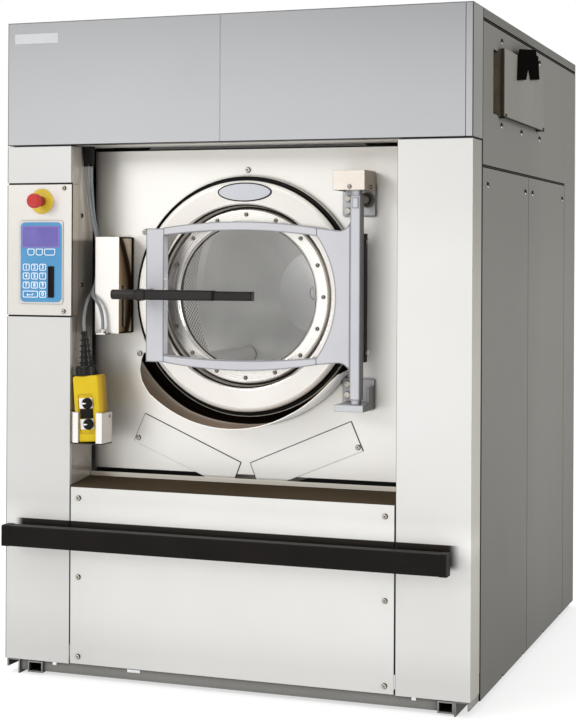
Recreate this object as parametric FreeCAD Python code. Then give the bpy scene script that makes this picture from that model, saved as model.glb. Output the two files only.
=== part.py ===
import FreeCAD, Part
import math
import os
from FreeCAD import Vector as V

# Industrial front-loading washer-extractor.
# Frame: origin on the floor under the middle of the cabinet, +X to the machine's
# right as seen from the front, +Y to the back, +Z up.  Millimetres.
# Depths are given as f, the distance behind the cabinet's front plane.

os.makedirs("parts", exist_ok=True)

# ---------------------------------------------------------------- driving sizes
W = 1320.0            # cabinet width
D = 1450.0            # cabinet depth
H = 1800.0            # cabinet height
F = -D / 2.0          # Y of the front plane
HX = W / 2.0
BASE_H = 40.0         # base frame height
SKIRT_Z = 17.0        # lower edge of side and rear panels
SHEET = 2.0           # front sheet thickness
SIDE_T = 3.0          # side panel thickness
COL_IN = 464.0        # inner edge of the front columns
COL_RET = 105.0       # depth of the columns' side returns
HEAD_Z = 1460.0       # lower edge of the header
SEAM_X = -25.0        # seam between the two header halves
CTRL_Z0, CTRL_Z1 = 992.5, 1352.0   # control plate
CTRL_GAP = 5.0        # joint above and below it
SILL_Z = 524.0        # top of the lower front panel
PANEL_F = 150.0       # front of the suspended inner panel
PANEL_T = 3.0
PANEL_X, PANEL_Z1 = 462.0, 1453.0   # its half width and upper edge
AX_Z = 1049.0         # drum axis height
HOLE_R = 322.0        # hole in the inner panel
RING_R = 314.0        # tub front ring, outside
RING_F = 112.0        # tub front ring, front face
CHUTE_R = 349.0       # chute under the door, inside, round the drum axis
CHUTE_F = 10.0        # chute rim
TUB_R = 520.0
TUB_F0, TUB_F1 = 200.0, 960.0
TUB_T = 4.0
DRUM_R = 465.0
DRUM_F0, DRUM_F1 = 225.0, 880.0
HUB_R, HUB_F = 130.0, 752.0        # flat middle of the dished rear wall of the drum
DRUM_T = 3.5
MOUTH_R = 235.0
SHAFT_R = 45.0
RUN = 0.05            # running clearance on radius
PULLEY_R = 260.0
MOTOR_PULLEY_R = 60.0
PULLEY_F0, PULLEY_F1 = 1130.0, 1180.0
MOTOR_Z = 310.0
HINGE_X, HINGE_F = 336.5, 65.0     # door hinge axis
YOKE_F0, YOKE_F1 = 50.0, 80.0
PIV_X, PIV_Z, PIV_F = -244.0, 1053.0, -16.0   # handle pivot and lever plane
ESTOP_X, ESTOP_Z = -553.0, 1306.0
BTN_X, BTN_Z_UP, BTN_Z_DOWN = -408.0, 755.0, 698.0
PEND_TILT = -4.5      # lean of the pendant station about the upper button, degrees
CORD_R = 4.5
SPRING_X, SPRING_F = 510.0, (330.0, 1120.0)
SPRING_Z0, SPRING_Z1 = 180.0, 420.0
ANCHOR_X, ANCHOR_F, ANCHOR_R = 555.0, (525.0, 925.0), 9.0


# ---------------------------------------------------------------- helpers
def box(x0, x1, f0, f1, z0, z1):
    return Part.makeBox(x1 - x0, f1 - f0, z1 - z0, V(x0, F + f0, z0))


def sbox(s, x0, x1, f0, f1, z0, z1):
    return box(x0, x1, f0, f1, z0, z1) if s > 0 else box(-x1, -x0, f0, f1, z0, z1)


def cyl_y(x, z, r, f0, f1):
    return Part.makeCylinder(r, f1 - f0, V(x, F + f0, z), V(0, 1, 0))


def cyl_z(x, f, r, z0, z1):
    return Part.makeCylinder(r, z1 - z0, V(x, F + f, z0), V(0, 0, 1))


def cyl_x(f, z, r, x0, x1):
    return Part.makeCylinder(r, x1 - x0, V(x0, F + f, z), V(1, 0, 0))


def wire_of(pts):
    """Closed wire.  A point is (a, b), or (a, b, ma, mb) for an arc that
    reaches it through (ma, mb)."""
    edges, prev = [], pts[0][0]
    for p in pts[1:] + [pts[0]]:
        q = p[0]
        if (q - prev).Length < 1e-6:
            continue
        if p[1] is not None:
            edges.append(Part.Arc(prev, p[1], q).toShape())
        else:
            edges.append(Part.LineSegment(prev, q).toShape())
        prev = q
    return Part.Wire(edges)


def profile(pts, to3):
    out = []
    for p in pts:
        mid = to3(p[2], p[3]) if len(p) == 4 else None
        out.append((to3(p[0], p[1]), mid))
    return Part.Face(wire_of(out))


def prism_xz(pts, f0, f1):
    return profile(pts, lambda a, b: V(a, F + f0, b)).extrude(V(0, f1 - f0, 0))


def prism_yz(pts, x0, x1):
    return profile(pts, lambda a, b: V(x0, F + a, b)).extrude(V(x1 - x0, 0, 0))


def prism_xy(pts, z0, z1):
    return profile(pts, lambda a, b: V(a, F + b, z0)).extrude(V(0, 0, z1 - z0))


def revolve_y(pts, cx, cz):
    """Profile of (radius, f) turned about the line through (cx, cz) along Y."""
    face = profile(pts, lambda r, f: V(cx + r, F + f, cz))
    return face.revolve(V(cx, F, cz), V(0, 1, 0), 360)


def revolve_z(pts, cx, f):
    """Profile of (radius, z) turned about the vertical line through (cx, f)."""
    face = profile(pts, lambda r, z: V(cx + r, F + f, z))
    return face.revolve(V(cx, F + f, 0), V(0, 0, 1), 360)


def fuse(first, *rest):
    out = first
    for s in rest:
        out = out.fuse(s)
    return out.removeSplitter()


def cut(a, *bs):
    for b in bs:
        a = a.cut(b)
    return a


def single(shape):
    sol = shape.Solids
    if len(sol) != 1:
        raise ValueError("expected one solid, got %d" % len(sol))
    return sol[0]


def fillet(shape, r, pick):
    edges = [e for e in shape.Edges if pick(e)]
    return shape.makeFillet(r, edges)


def edge_dir(e):
    if not isinstance(e.Curve, (Part.Line, Part.LineSegment)):
        return None
    d = e.Vertexes[-1].Point - e.Vertexes[0].Point
    return (abs(d.x), abs(d.y), abs(d.z))


def along(axis):
    def pick(e):
        d = edge_dir(e)
        if d is None:
            return False
        return all(v < 1e-6 for i, v in enumerate(d) if i != axis)
    return pick


def save(node, *shapes):
    solids = []
    for s in shapes:
        if not s.Solids:
            raise ValueError(node + ": empty")
        solids += s.Solids
    for s in solids:
        if not s.isValid():
            raise ValueError(node + ": invalid solid")
    out = solids[0] if len(solids) == 1 else Part.makeCompound(solids)
    out.exportStep("parts/%s.step" % node)
    print("%-24s %3d solid(s)  %10.1f cm3" % (node, len(solids), sum(s.Volume for s in solids) / 1000.0))


def button_head(pos, direction, r=7.0, h=4.2):
    """Low domed hexagon-socket screw head, flat side on pos, dome along direction."""
    pts = [(0.0, 0.0), (r, 0.0), (r, 0.3 * h), (0.62 * r, h, 0.9 * r, 0.78 * h), (0.0, h)]
    face = profile(pts, lambda a, b: V(a, 0, b))
    s = face.revolve(V(0, 0, 0), V(0, 0, 1), 360)
    s = s.cut(Part.makeCylinder(0.36 * r, h, V(0, 0, 0.45 * h), V(0, 0, 1)))
    s.Placement = FreeCAD.Placement(V(pos[0], F + pos[1], pos[2]), FreeCAD.Rotation(V(0, 0, 1), V(*direction)))
    return s


def hex_head(pos, direction, r=9.0, h=7.0):
    pts = [(r * math.cos(math.radians(60 * i)), r * math.sin(math.radians(60 * i))) for i in range(6)]
    s = profile(pts, lambda a, b: V(a, b, 0)).extrude(V(0, 0, h))
    s = s.common(Part.makeCone(r * 1.02, r * 0.86, h, V(0, 0, 0), V(0, 0, 1)))
    s.Placement = FreeCAD.Placement(V(pos[0], F + pos[1], pos[2]), FreeCAD.Rotation(V(0, 0, 1), V(*direction)))
    return s


FRONT, RIGHT, LEFT, BACK = (0, -1, 0), (1, 0, 0), (-1, 0, 0), (0, 1, 0)

# ---------------------------------------------------------------- base frame
parts = []
for s in (-1, 1):
    rail = cut(sbox(s, 617, 656.5, 4, 1446, 0, BASE_H), sbox(s, 621.5, 652, 0, 1450, -1, 35.5), sbox(s, 640, 660, 0, 1450, -1, SKIRT_Z))
    parts.append(rail)
for f0 in (10.0, 1392.0):
    if f0 < 100:
        parts.append(cut(box(-617, 617, f0, f0 + 48, 10, 40), box(-617, 617, f0 + 4.5, f0 + 60, 14.5, 35.5)))
    else:
        parts.append(cut(box(-617, 617, f0, f0 + 48, 10, 40), box(-617, 617, f0 - 12, f0 + 43.5, 14.5, 35.5)))
parts.append(box(-617, 617, 665, 785, 0, 12))
parts.append(box(-617, 617, 715, 735, 12, 40))
for s in (-1, 1):
    for f in ANCHOR_F:
        parts.append(sbox(s, 500, 617, f - 55, f + 55, 0, 8))
    for f in SPRING_F:
        parts.append(sbox(s, 440, 617, f - 62, f + 62, 12, 40))
        parts.append(sbox(s, 455, 565, f - 55, f + 55, 40, SPRING_Z0))
for x0, x1 in ((-592.0, -546.0), (574.0, 617.0)):
    parts.append(box(x0, x1, 3, 200, 6, 37))
base = fuse(*parts)
for x0, x1 in ((-592.0, -546.0), (574.0, 617.0)):
    base = base.cut(box(x0 + 4, x1 - 4, 2, 201, 10, 33))
for s in (-1, 1):
    for f in ANCHOR_F:
        base = base.cut(cyl_z(s * ANCHOR_X, f, ANCHOR_R, -1, 9))
save("base_frame", single(base))

# ---------------------------------------------------------------- upper frame
members = []
for s in (-1, 1):
    for f0 in (112.0, 1380.0):
        members.append(cut(sbox(s, 588, 648, f0, f0 + 60, BASE_H, 1760), sbox(s, 592, 644, f0 + 4, f0 + 56, 30, 1770)))
    members.append(fuse(sbox(s, 598, 648, 172, 1380, 1755, 1760), sbox(s, 643, 648, 172, 1380, 1710, 1756)))
for f0, fw in ((122.0, 122.0), (1380.0, 1425.0)):
    members.append(fuse(box(-588, 588, f0, f0 + 50, 1755, 1760), box(-588, 588, fw, fw + 5, 1710, 1756)))
# strips behind the joints of the side and rear panels
for s in (-1, 1):
    members.append(fuse(sbox(s, 651, 656.8, 110, 1444, 1378, 1408), *[sbox(s, 651, 656.8, f - 15, f + 15, 42, 1380) for f in (689.0, 1257.0)]))
members.append(box(-586, 586, 1441, 1446.6, 985, 1015))
save("upper_frame", *[single(m) for m in members])


# ---------------------------------------------------------------- front covers
def column(s, z0, z1, x_in=COL_IN, ret=12.0):
    body = fuse(
        sbox(s, x_in, HX, 0, SHEET, z0, z1),
        sbox(s, HX - SHEET, HX, 0, COL_RET - 9, z0, z1),
        sbox(s, x_in, x_in + SHEET, 0, ret, z0, z1),
    )
    return single(body)


# the covers above and below the control plate reach behind it with a joggled edge
zl, zu = CTRL_Z0 - CTRL_GAP, CTRL_Z1 + CTRL_GAP
low_c = fuse(column(-1, BASE_H, zl), box(-657.5, -466.5, 1, 5, zl - 16, zl - 12), box(-657.5, -466.5, 3, 5, zl - 16, CTRL_Z0 + 10))
upp_c = fuse(column(-1, zu, 1457), box(-657.5, -466.5, 1, 5, zu + 12, zu + 16), box(-657.5, -466.5, 3, 5, CTRL_Z1 - 10, zu + 16))
save("left_column_covers", single(low_c), single(upp_c))
save("right_column_cover", column(1, BASE_H, 1457))
save("control_plate", column(-1, CTRL_Z0, CTRL_Z1, x_in=461.5, ret=40.0))

# header: two fascia halves and the end trim on the right
fas_l = fuse(
    box(-HX, SEAM_X - 1, 0, SHEET, HEAD_Z, H),
    box(-HX, SEAM_X - 1, 0, 20, H - SHEET, H),
    box(-HX, SEAM_X - 1, 0, 30, HEAD_Z, HEAD_Z + SHEET),
    box(-HX, -HX + SHEET, 0, COL_RET, HEAD_Z, H),
)
fas_r = fuse(
    box(SEAM_X + 1, 640, 0, SHEET, HEAD_Z, H),
    box(SEAM_X + 1, 640, 0, 20, H - SHEET, H),
    box(SEAM_X + 1, 640, 0, 30, HEAD_Z, HEAD_Z + SHEET),
)
trim = fuse(
    box(641.5, HX, 0, SHEET, HEAD_Z, H),
    box(HX - SHEET, HX, 0, COL_RET, HEAD_Z, H),
    box(641.5, HX, 0, 20, H - SHEET, H),
    box(641.5, HX, 0, 30, HEAD_Z, HEAD_Z + SHEET),
)
save("header_fascias", single(fas_l), single(fas_r), single(trim))

# top covers, in two lengths, with side lips
top_front = fuse(
    box(-657, 657, 22, 107, H - 3, H),
    box(-HX, HX, 107, 998, H - 3, H),
    box(HX - 3, HX, 107, 998, 1773, H),
    box(-HX, -HX + 3, 107, 998, 1773, H),
)
top_rear = fuse(
    box(-HX, HX, 1000, D, H - 3, H),
    box(HX - 3, HX, 1000, D, 1773, H),
    box(-HX, -HX + 3, 1000, D, 1773, H),
    box(-HX, HX, D - 3, D, 1773, H),
)
save("top_covers", single(top_front), single(top_rear))

# ---------------------------------------------------------------- side and rear panels
VENT = (226.0, 806.0, 1537.0, 1707.0)
NOTCH_F = (373.0, 640.0, 933.0, 1206.0, 1400.0)
panels = []
for s in (-1, 1):
    up = fuse(sbox(s, HX - SIDE_T, HX, COL_RET + 3, D, 1395, 1769), sbox(s, HX - SIDE_T, HX, 1259, D, SKIRT_Z, 1400))
    if s > 0:
        up = up.cut(box(HX - 10, HX + 5, VENT[0], VENT[1], VENT[2], VENT[3]))
    sheets = [
        up,
        sbox(s, HX - SIDE_T, HX, COL_RET + 3, 687, SKIRT_Z, 1391),
        sbox(s, HX - SIDE_T, HX, 691, 1255, SKIRT_Z, 1391),
    ]
    for sheet in sheets:
        panels.append(single(cut(sheet, *[sbox(s, HX - 10, HX + 5, f - 7, f + 7, SKIRT_Z - 1, SKIRT_Z + 7) for f in NOTCH_F])))
save("side_panels", *panels)

INLET_X, INLET_Z = (250.0, 330.0, 410.0), 1480.0
DRAIN_Z = 110.0
rear = []
for s in (-1, 1):
    rear.append(sbox(s, 602, HX - SIDE_T, D - 3, D, SKIRT_Z, 1769))
low = box(-598, 598, D - 3, D, SKIRT_Z, 998).cut(cyl_y(0, DRAIN_Z, 52, D - 10, D + 5))
upp = box(-598, 598, D - 3, D, 1002, 1769)
for x in INLET_X:
    upp = upp.cut(cyl_y(x, INLET_Z, 22, D - 10, D + 5))
for i in range(9):
    upp = upp.cut(box(-480, -120, D - 10, D + 5, 1120 + 26 * i, 1130 + 26 * i))
save("rear_panels", *rear, low, upp)

# ---------------------------------------------------------------- recess around the door
save(
    "recess_liners",
    box(-COL_IN - 2, -COL_IN, 12.5, 133, 529, 1457),
    box(COL_IN, COL_IN + 2, 12.5, 133, 529, 1457),
    box(-COL_IN - 2, COL_IN + 2, 31, 146, 1459.3, 1461.3),
)
sill = prism_yz(
    [(2.2, 526.8), (127.5, 541.0), (127.5, 553.0), (130.0, 553.0), (130.0, 539.0), (20.0, 526.4), (20.0, 524.3), (2.2, 524.3)],
    -463.4, 463.4,
)
save("drip_sill", sill)
save("lower_front_panel", single(fuse(
    box(-460, 460, 0, SHEET, 42, SILL_Z),
    box(-460, 460, 0, 18, SILL_Z - SHEET, SILL_Z),
    box(-460, 460, 0, 18, 42, 42 + SHEET),
)))

# ---------------------------------------------------------------- bumper
bar = prism_yz([(-34, 363.5), (-34, 419.5), (-67, 419.5), (-71, 415.5, -69.8, 418.3), (-71, 367.5), (-67, 363.5, -69.8, 364.7)], -614, 595)
caps = []
for x0, x1 in ((-634.0, -614.0), (595.0, 615.0)):
    c = prism_yz([(-33, 362.5), (-33, 420.5), (-67, 420.5), (-72, 415.5, -70.5, 419), (-72, 367.5), (-67, 362.5, -70.5, 364)], x0, x1)
    caps.append(c)
save("bumper_bar", bar, *caps, *[box(x - 34, x + 34, -34, 0, 376, 412) for x in (-540.0, 540.0)])

# ---------------------------------------------------------------- vent cover on the right side
cover = fuse(
    box(676, 678.5, 284, 822, 1531, 1715),
    box(667, 676, 284, 286.5, 1531, 1715),
    *[box(HX, 676.5, f, f + 16, z, z + 6) for f in (296.0, 790.0) for z in (1531.0, 1709.0)]
)
clip = prism_yz(
    [(464, 1734), (664, 1756), (679, 1741), (701, 1741), (721, 1676), (613, 1664), (571, 1703), (533, 1656), (433, 1645), (442, 1711)],
    678.5, 684.5,
)
save("vent_cover", single(cover), clip)

# ---------------------------------------------------------------- control panel
bez = box(-621, -487, -3, 0, 1024, 1253)
bez = fillet(bez, 6, along(1))
save("keypad_bezel", bez)
mem = box(-616, -490, -4.2, -3, 1029, 1248)
mem = fillet(mem, 13, along(1))
save("keypad_membrane", mem)
dis = box(-611, -497, -5.4, -4.2, 1179, 1238)
save("display_window", dis)
base_e = revolve_y([(9 + RUN, -24), (14, -24), (14, -3.2), (33, -3.2), (34.5, -1.8), (34.5, 0), (9 + RUN, 0)], ESTOP_X, ESTOP_Z)
save("e_stop_base", base_e)
save("e_stop_stem", cyl_y(ESTOP_X, ESTOP_Z, 9.0, -45, -7))
head = revolve_y(
    [(0, -53), (12, -53), (20, -47, 18.4, -52.2), (20, -38), (17, -34.5, 19.4, -35.4), (13, -34.5), (13, -30), (9 + RUN, -30), (9 + RUN, -45.1), (0, -45.1)],
    ESTOP_X, ESTOP_Z,
)
save("e_stop_head", head)

# ---------------------------------------------------------------- pendant station
PX0, PX1, PF0, PF1, PZ0, PZ1 = -451.0, -375.5, -2.0, 50.0, 649.0, 830.0


def lean(shape):
    shape = shape.copy()
    shape.rotate(V(BTN_X, 0, BTN_Z_UP), V(0, 1, 0), PEND_TILT)
    return shape


pend = box(PX0, PX1, PF0, PF1, PZ0, PZ1)
pend = fillet(pend, 8, along(1))
pend = pend.makeFillet(5, [e for e in pend.Edges if abs(e.BoundBox.YMin - F - PF0) < 1e-3 and abs(e.BoundBox.YMax - F - PF0) < 1e-3])
pend = pend.cut(fillet(box(-438, -392, PF0 - 1, PF0 + 3, 672, 780), 6, along(1)))
for z in (BTN_Z_UP, BTN_Z_DOWN):
    pend = pend.cut(cyl_y(BTN_X, z, 8 + RUN, 0, 14))
save("pendant_housing", lean(single(pend)))
BOOT_X, BOOT_F = -418.0, 24.0
boot_pts = [(0, 830), (28.5, 830), (28.5, 853), (25, 857), (16.5, 857)]
z, r = 862.0, 16.2
while z < 938:
    boot_pts += [(r, z), (r + 3.6, z + 1.0), (r + 3.6, z + 3.8), (r - 0.4, z + 5.0)]
    z += 15.5
    r -= 1.75
boot_pts += [(r, 941), (r + 2.0, 943), (r + 2.0, 948), (r, 951), (0, 951)]
save("pendant_boot", lean(revolve_z(boot_pts, BOOT_X, BOOT_F)))
hold = fuse(
    box(-463.7, -459.7, 8, 54, 643.2, 730),
    box(-365, -362.5, -7, 54, 643.2, 730),
    box(-463.7, -362.5, 51.5, 54, 643.2, 730),
    box(-463.7, -362.5, 8, 54, 643.2, 645.7),
    box(-452.5, -362.5, -7, 10, 643.2, 645.7),
    box(-452.5, -434.5, -7, -4.5, 643.2, 730),
    box(-382.5, -362.5, -7, -4.5, 643.2, 730),
)
hold = hold.removeSplitter().cut(cyl_x(40, 718, 4, -370, -355))
save("pendant_holder", single(hold))
for node, z in (("pendant_button_up", BTN_Z_UP), ("pendant_button_down", BTN_Z_DOWN)):
    b = revolve_y([(0, -13), (11, -13), (14.5, -9.5, 13.6, -12.1), (14.5, -5.5), (8, -5.5), (8, 8), (0, 8)], BTN_X, z)
    save(node, lean(b))

# ---------------------------------------------------------------- cable glands and cords
GL = ((-453.5, 70.0), (-437.0, 70.0))
glands = []
for x, f in GL:
    glands.append(revolve_z([(0, 1404), (5.6, 1404), (6.2, 1412), (7.4, 1440), (7.9, 1441), (7.9, 1459.3), (0, 1459.3)], x, f))
save("cable_glands", *glands)

PENDANT_ROUTE = [
    (-437.0, 70.0, 1404.0), (-437.0, 70.0, 1380.0), (-439.4, 76.0, 1352.0), (-441.5, 85.5, 1322.0),
    (-442.8, 93.0, 1287.0), (-441.0, 100.0, 1251.0), (-436.6, 105.2, 1221.0), (-432.6, 108.2, 1188.0),
    (-431.6, 109.2, 1150.0), (-432.0, 107.5, 1115.0), (-434.4, 99.0, 1085.0), (-437.4, 84.0, 1063.0),
    (-438.8, 68.0, 1047.5), (-438.8, 54.0, 1035.5), (-438.6, 43.0, 1019.5), (-438.4, 34.5, 1000.0),
    (-436.8, 27.6, 979.5), (-434.4464, 24.0, 963.5693), (-433.348, 24.0, 949.6125),
]
LOCK_ROUTE = [
    (-453.5, 70.0, 1404.0), (-453.5, 70.0, 1380.0), (-449.6, 72.0, 1352.0), (-446.5, 76.0, 1322.0),
    (-444.6, 81.0, 1287.0), (-440.6, 87.0, 1251.0), (-434.6, 91.5, 1221.0), (-429.8, 94.5, 1188.0),
    (-428.6, 95.0, 1150.0), (-428.6, 92.0, 1112.0), (-429.0, 82.0, 1080.0), (-429.0, 68.0, 1060.0),
    (-423.5, 53.5, 1046.5), (-411.0, 47.5, 1036.5), (-398.5, 46.3, 1021.0), (-391.5, 46.0, 1001.0),
    (-388.4, 46.0, 981.0), (-388.0, 46.0, 968.0), (-388.0, 46.0, 955.0),
]


def cord_path(route):
    """Straight runs joined by tangent arcs; returns the wire, its length and radii."""
    pts = [V(x, F + f, z) for x, f, z in route]
    edges, radii, prev = [], [], pts[0]
    for i in range(1, len(pts) - 1):
        a, b, c = pts[i - 1], pts[i], pts[i + 1]
        u, w = (a - b), (c - b)
        run = min(u.Length, w.Length)
        u.normalize()
        w.normalize()
        turn = math.pi - u.getAngle(w)
        t = 0.45 * run
        rad = t / math.tan(turn / 2.0)
        radii.append(rad)
        p, q = b + u * t, b + w * t
        mid_dir = (u + w)
        mid_dir.normalize()
        centre = b + mid_dir * (rad / math.cos(turn / 2.0))
        mid = centre - mid_dir * rad
        edges.append(Part.LineSegment(prev, p).toShape())
        edges.append(Part.Arc(p, mid, q).toShape())
        prev = q
    edges.append(Part.LineSegment(prev, pts[-1]).toShape())
    w = Part.Wire(edges)
    return w, w.Length, radii, (pts[1] - pts[0])


def cord(node, route, r):
    w, length, radii, d = cord_path(route)
    circle = Part.Wire([Part.Circle(w.Vertexes[0].Point, d, r).toShape()])
    tube = w.makePipeShell([circle], True, False)
    want = math.pi * r * r * length
    print("%s length %.1f mm, radii %s, volume ratio %.4f" % (node, length, [round(x) for x in radii], tube.Volume / want))
    save(node, tube)


cord("pendant_cord", PENDANT_ROUTE, CORD_R)
cord("lock_cord", LOCK_ROUTE, CORD_R)

# ---------------------------------------------------------------- inside the cabinet
save("control_box", single(cut(box(-450, 450, 128, 600, 1610, 1709.7), box(-447, 447, 131, 597, 1613, 1720))))
inl = []
for x in INLET_X:
    inl.append(single(fuse(
        box(x - 28, x + 28, 1395, 1446.8, INLET_Z - 28, INLET_Z + 28),
        cyl_y(x, INLET_Z, 13.2, 1446, 1484),
        cyl_y(x, INLET_Z, 22, 1370, 1396),
    )))
save("water_inlets", *inl)
DRAIN_F = 560.0
elbow = fuse(
    cyl_y(0, DRAIN_Z, 40.0, DRAIN_F, 1452),
    cyl_y(0, DRAIN_Z, 37.5, 1450, 1486),
    cyl_z(0, DRAIN_F, 40.0, DRAIN_Z, 200),
    Part.makeSphere(40.0, V(0, F + DRAIN_F, DRAIN_Z)),
)
inner = fuse(
    cyl_y(0, DRAIN_Z, 34.0, DRAIN_F, 1490),
    cyl_z(0, DRAIN_F, 34.0, DRAIN_Z, 210),
    Part.makeSphere(34.0, V(0, F + DRAIN_F, DRAIN_Z)),
)
pipe = elbow.cut(inner)
for f, z in ((725.0, 40.0), (1404.0, 40.0)):
    pipe = pipe.fuse(box(-30, 30, f - 8, f + 8, z, 78).cut(cyl_y(0, DRAIN_Z, 38.0, f - 20, f + 20)))
save("drain_pipe", single(pipe.removeSplitter()))
bell = [(40.4, 188.0), (43.0, 188.0)]
for i in range(11):
    z0 = 206 + 24 * i
    bell += [(43.0, z0), (52.0, z0 + 6), (52.0, z0 + 14), (43.0, z0 + 20)]
bell += [(43.0, 490.0), (40.4, 490.0)]
bellows = revolve_z(bell, 0, DRAIN_F)
save("drain_bellows", bellows)

springs = []
for s in (-1, 1):
    for f in SPRING_F:
        pts = [(0, SPRING_Z0), (50, SPRING_Z0), (50, SPRING_Z0 + 12), (52, SPRING_Z0 + 12)]
        z0, n = SPRING_Z0 + 12.0, 3
        h = (SPRING_Z1 - SPRING_Z0 - 24.0) / n
        for i in range(n):
            pts += [(46, z0 + 0.0 + h * i), (46, z0 + h * (i + 1), 70, z0 + h * (i + 0.5))]
        pts += [(50, SPRING_Z1 - 12), (50, SPRING_Z1), (0, SPRING_Z1)]
        springs.append(revolve_z(pts, s * SPRING_X, f))
save("air_springs", *springs)

# ---------------------------------------------------------------- suspended drum unit: front panel
pan = fuse(
    box(-PANEL_X, PANEL_X, PANEL_F, PANEL_F + PANEL_T, 562, PANEL_Z1),
    box(-PANEL_X, -PANEL_X + 3, PANEL_F, 182, 562, PANEL_Z1),
    box(PANEL_X - 3, PANEL_X, PANEL_F, 182, 562, PANEL_Z1),
    box(-PANEL_X, PANEL_X, PANEL_F, 182, 562, 565),
    box(-PANEL_X, PANEL_X, PANEL_F, 182, PANEL_Z1 - 3, PANEL_Z1),
)
pan = pan.cut(cyl_y(0, AX_Z, HOLE_R, PANEL_F - 5, PANEL_F + 10))
chute = cut(cyl_y(0, AX_Z, CHUTE_R + 2.5, CHUTE_F, PANEL_F + 1), cyl_y(0, AX_Z, CHUTE_R, CHUTE_F - 1, PANEL_F + 2))
# its two ends sweep back to the panel
chute = chute.common(fuse(
    prism_yz([(CHUTE_F - 2, 600), (CHUTE_F - 2, 778), (14, 790), (34, 818), (64, 843), (110, 869), (PANEL_F + 1.5, 889), (PANEL_F + 1.5, 600)], -400, 0),
    prism_yz([(CHUTE_F - 2, 600), (CHUTE_F - 2, 742), (14, 760), (20, 781), (27, 809), (40, 834), (62, 848), (PANEL_F + 1.5, 860), (PANEL_F + 1.5, 600)], 0, 400),
))
chute = chute.cut(box(272, 366, 138, PANEL_F, 750, 836))
pan = fuse(pan, chute)
save("inner_front_panel", single(pan))
save(
    "access_covers",
    prism_xz([(-306, 717), (-20, 594), (-38, 548), (-118, 548), (-339, 641)], PANEL_F - 2, PANEL_F),
    prism_xz([(296, 717), (10, 594), (28, 548), (108, 548), (329, 641)], PANEL_F - 2, PANEL_F),
)

# tub front ring: polished pressing with a rolled outer edge
ring = revolve_y(
    [
        (RING_R, 199.8), (RING_R, RING_F + 12), (RING_R - 12, RING_F, RING_R - 3.515, RING_F + 3.515), (256.5, 112), (246.6, 118.6, 249.6, 113.9), (242.8, 150.0),
        (246.8, 151.0), (250.4, 120.4), (256.8, 116.0, 252.6, 117.2), (RING_R - 12, RING_F + 4), (RING_R - 4, RING_F + 12, RING_R - 6.343, RING_F + 6.343), (RING_R - 4, 199.8),
    ],
    0, AX_Z,
)
save("tub_front_ring", ring)
gask = revolve_y(
    [(244.2, 151.6), (248.0, 152.4), (262.0, 199.6), (226.0, 199.6), (213.0, 186.0), (209.0, 172.0), (213.0, 160.0), (226.0, 153.0)],
    0, AX_Z,
)
save("door_gasket", gask)

# outer tub with front and rear walls
tub = revolve_y(
    [
        (263, TUB_F0), (TUB_R, TUB_F0), (TUB_R, TUB_F1), (62, TUB_F1), (62, TUB_F1 - TUB_T),
        (TUB_R - TUB_T, TUB_F1 - TUB_T), (TUB_R - TUB_T, TUB_F0 + TUB_T), (263, TUB_F0 + TUB_T),
    ],
    0, AX_Z,
)
tub = fuse(tub, cyl_z(0, DRAIN_F, 40, 470, 560).cut(cyl_y(0, AX_Z, TUB_R - 1, 300, 800)))
tub = tub.cut(cyl_z(0, DRAIN_F, 36, 460, 600))
save("outer_tub", single(tub))

# cradle that carries the tub, the panel and the motor
parts = []
for f0 in (320.0, 820.0):
    parts.append(box(-540, 540, f0, f0 + 25, SPRING_Z1, 640).cut(cyl_y(0, AX_Z, TUB_R + 0.2, f0 - 5, f0 + 30)))
for s in (-1, 1):
    parts.append(sbox(s, 480, 540, 260, 1190, SPRING_Z1, SPRING_Z1 + 50))
    parts.append(sbox(s, 385, 415, 182.2, 322, 585, 615))
parts.append(box(-160, 160, 843, 1060, 440, 452))
save("cradle", single(fuse(*parts)))

# bearing housing, shaft, drum, pulleys, belt and motor
hous = revolve_y([(SHAFT_R + RUN, 960.2), (185, 960.2), (185, 978), (118, 990), (104, 1030), (104, 1090), (96, 1100), (SHAFT_R + RUN, 1100)], 0, AX_Z)
save("bearing_housing", hous)
shaft = revolve_y([(0, HUB_F + DRUM_T), (HUB_R - 3, HUB_F + DRUM_T), (HUB_R - 3, HUB_F + 18), (75, HUB_F + 34), (SHAFT_R, HUB_F + 60), (SHAFT_R, 1195), (0, 1195)], 0, AX_Z)
save("drum_shaft", shaft)
save("drum_shell", revolve_y([(DRUM_R - DRUM_T, DRUM_F0 + DRUM_T), (DRUM_R, DRUM_F0 + DRUM_T), (DRUM_R, DRUM_F1), (DRUM_R - DRUM_T, DRUM_F1)], 0, AX_Z))
save("drum_front_wall", revolve_y(
    [
        (MOUTH_R, DRUM_F0), (DRUM_R, DRUM_F0), (DRUM_R, DRUM_F0 + DRUM_T), (MOUTH_R + DRUM_T, DRUM_F0 + DRUM_T),
        (MOUTH_R + DRUM_T, DRUM_F0 + 22), (MOUTH_R, DRUM_F0 + 22),
    ],
    0, AX_Z,
))
save("drum_rear_wall", revolve_y(
    [
        (DRUM_R - DRUM_T, DRUM_F1 - DRUM_T), (DRUM_R - DRUM_T, DRUM_F1), (DRUM_R - 25, DRUM_F1), (HUB_R, HUB_F + DRUM_T), (0, HUB_F + DRUM_T),
        (0, HUB_F - 5), (26, HUB_F - 5), (29, HUB_F - 2), (29, HUB_F), (HUB_R, HUB_F), (DRUM_R - 25, DRUM_F1 - DRUM_T),
    ],
    0, AX_Z,
))
inside = revolve_y(
    [(0, 240), (DRUM_R - DRUM_T, 240), (DRUM_R - DRUM_T, DRUM_F1 - DRUM_T), (DRUM_R - 25, DRUM_F1 - DRUM_T), (HUB_R, HUB_F), (0, HUB_F)], 0, AX_Z,
)
lift = []
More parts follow.
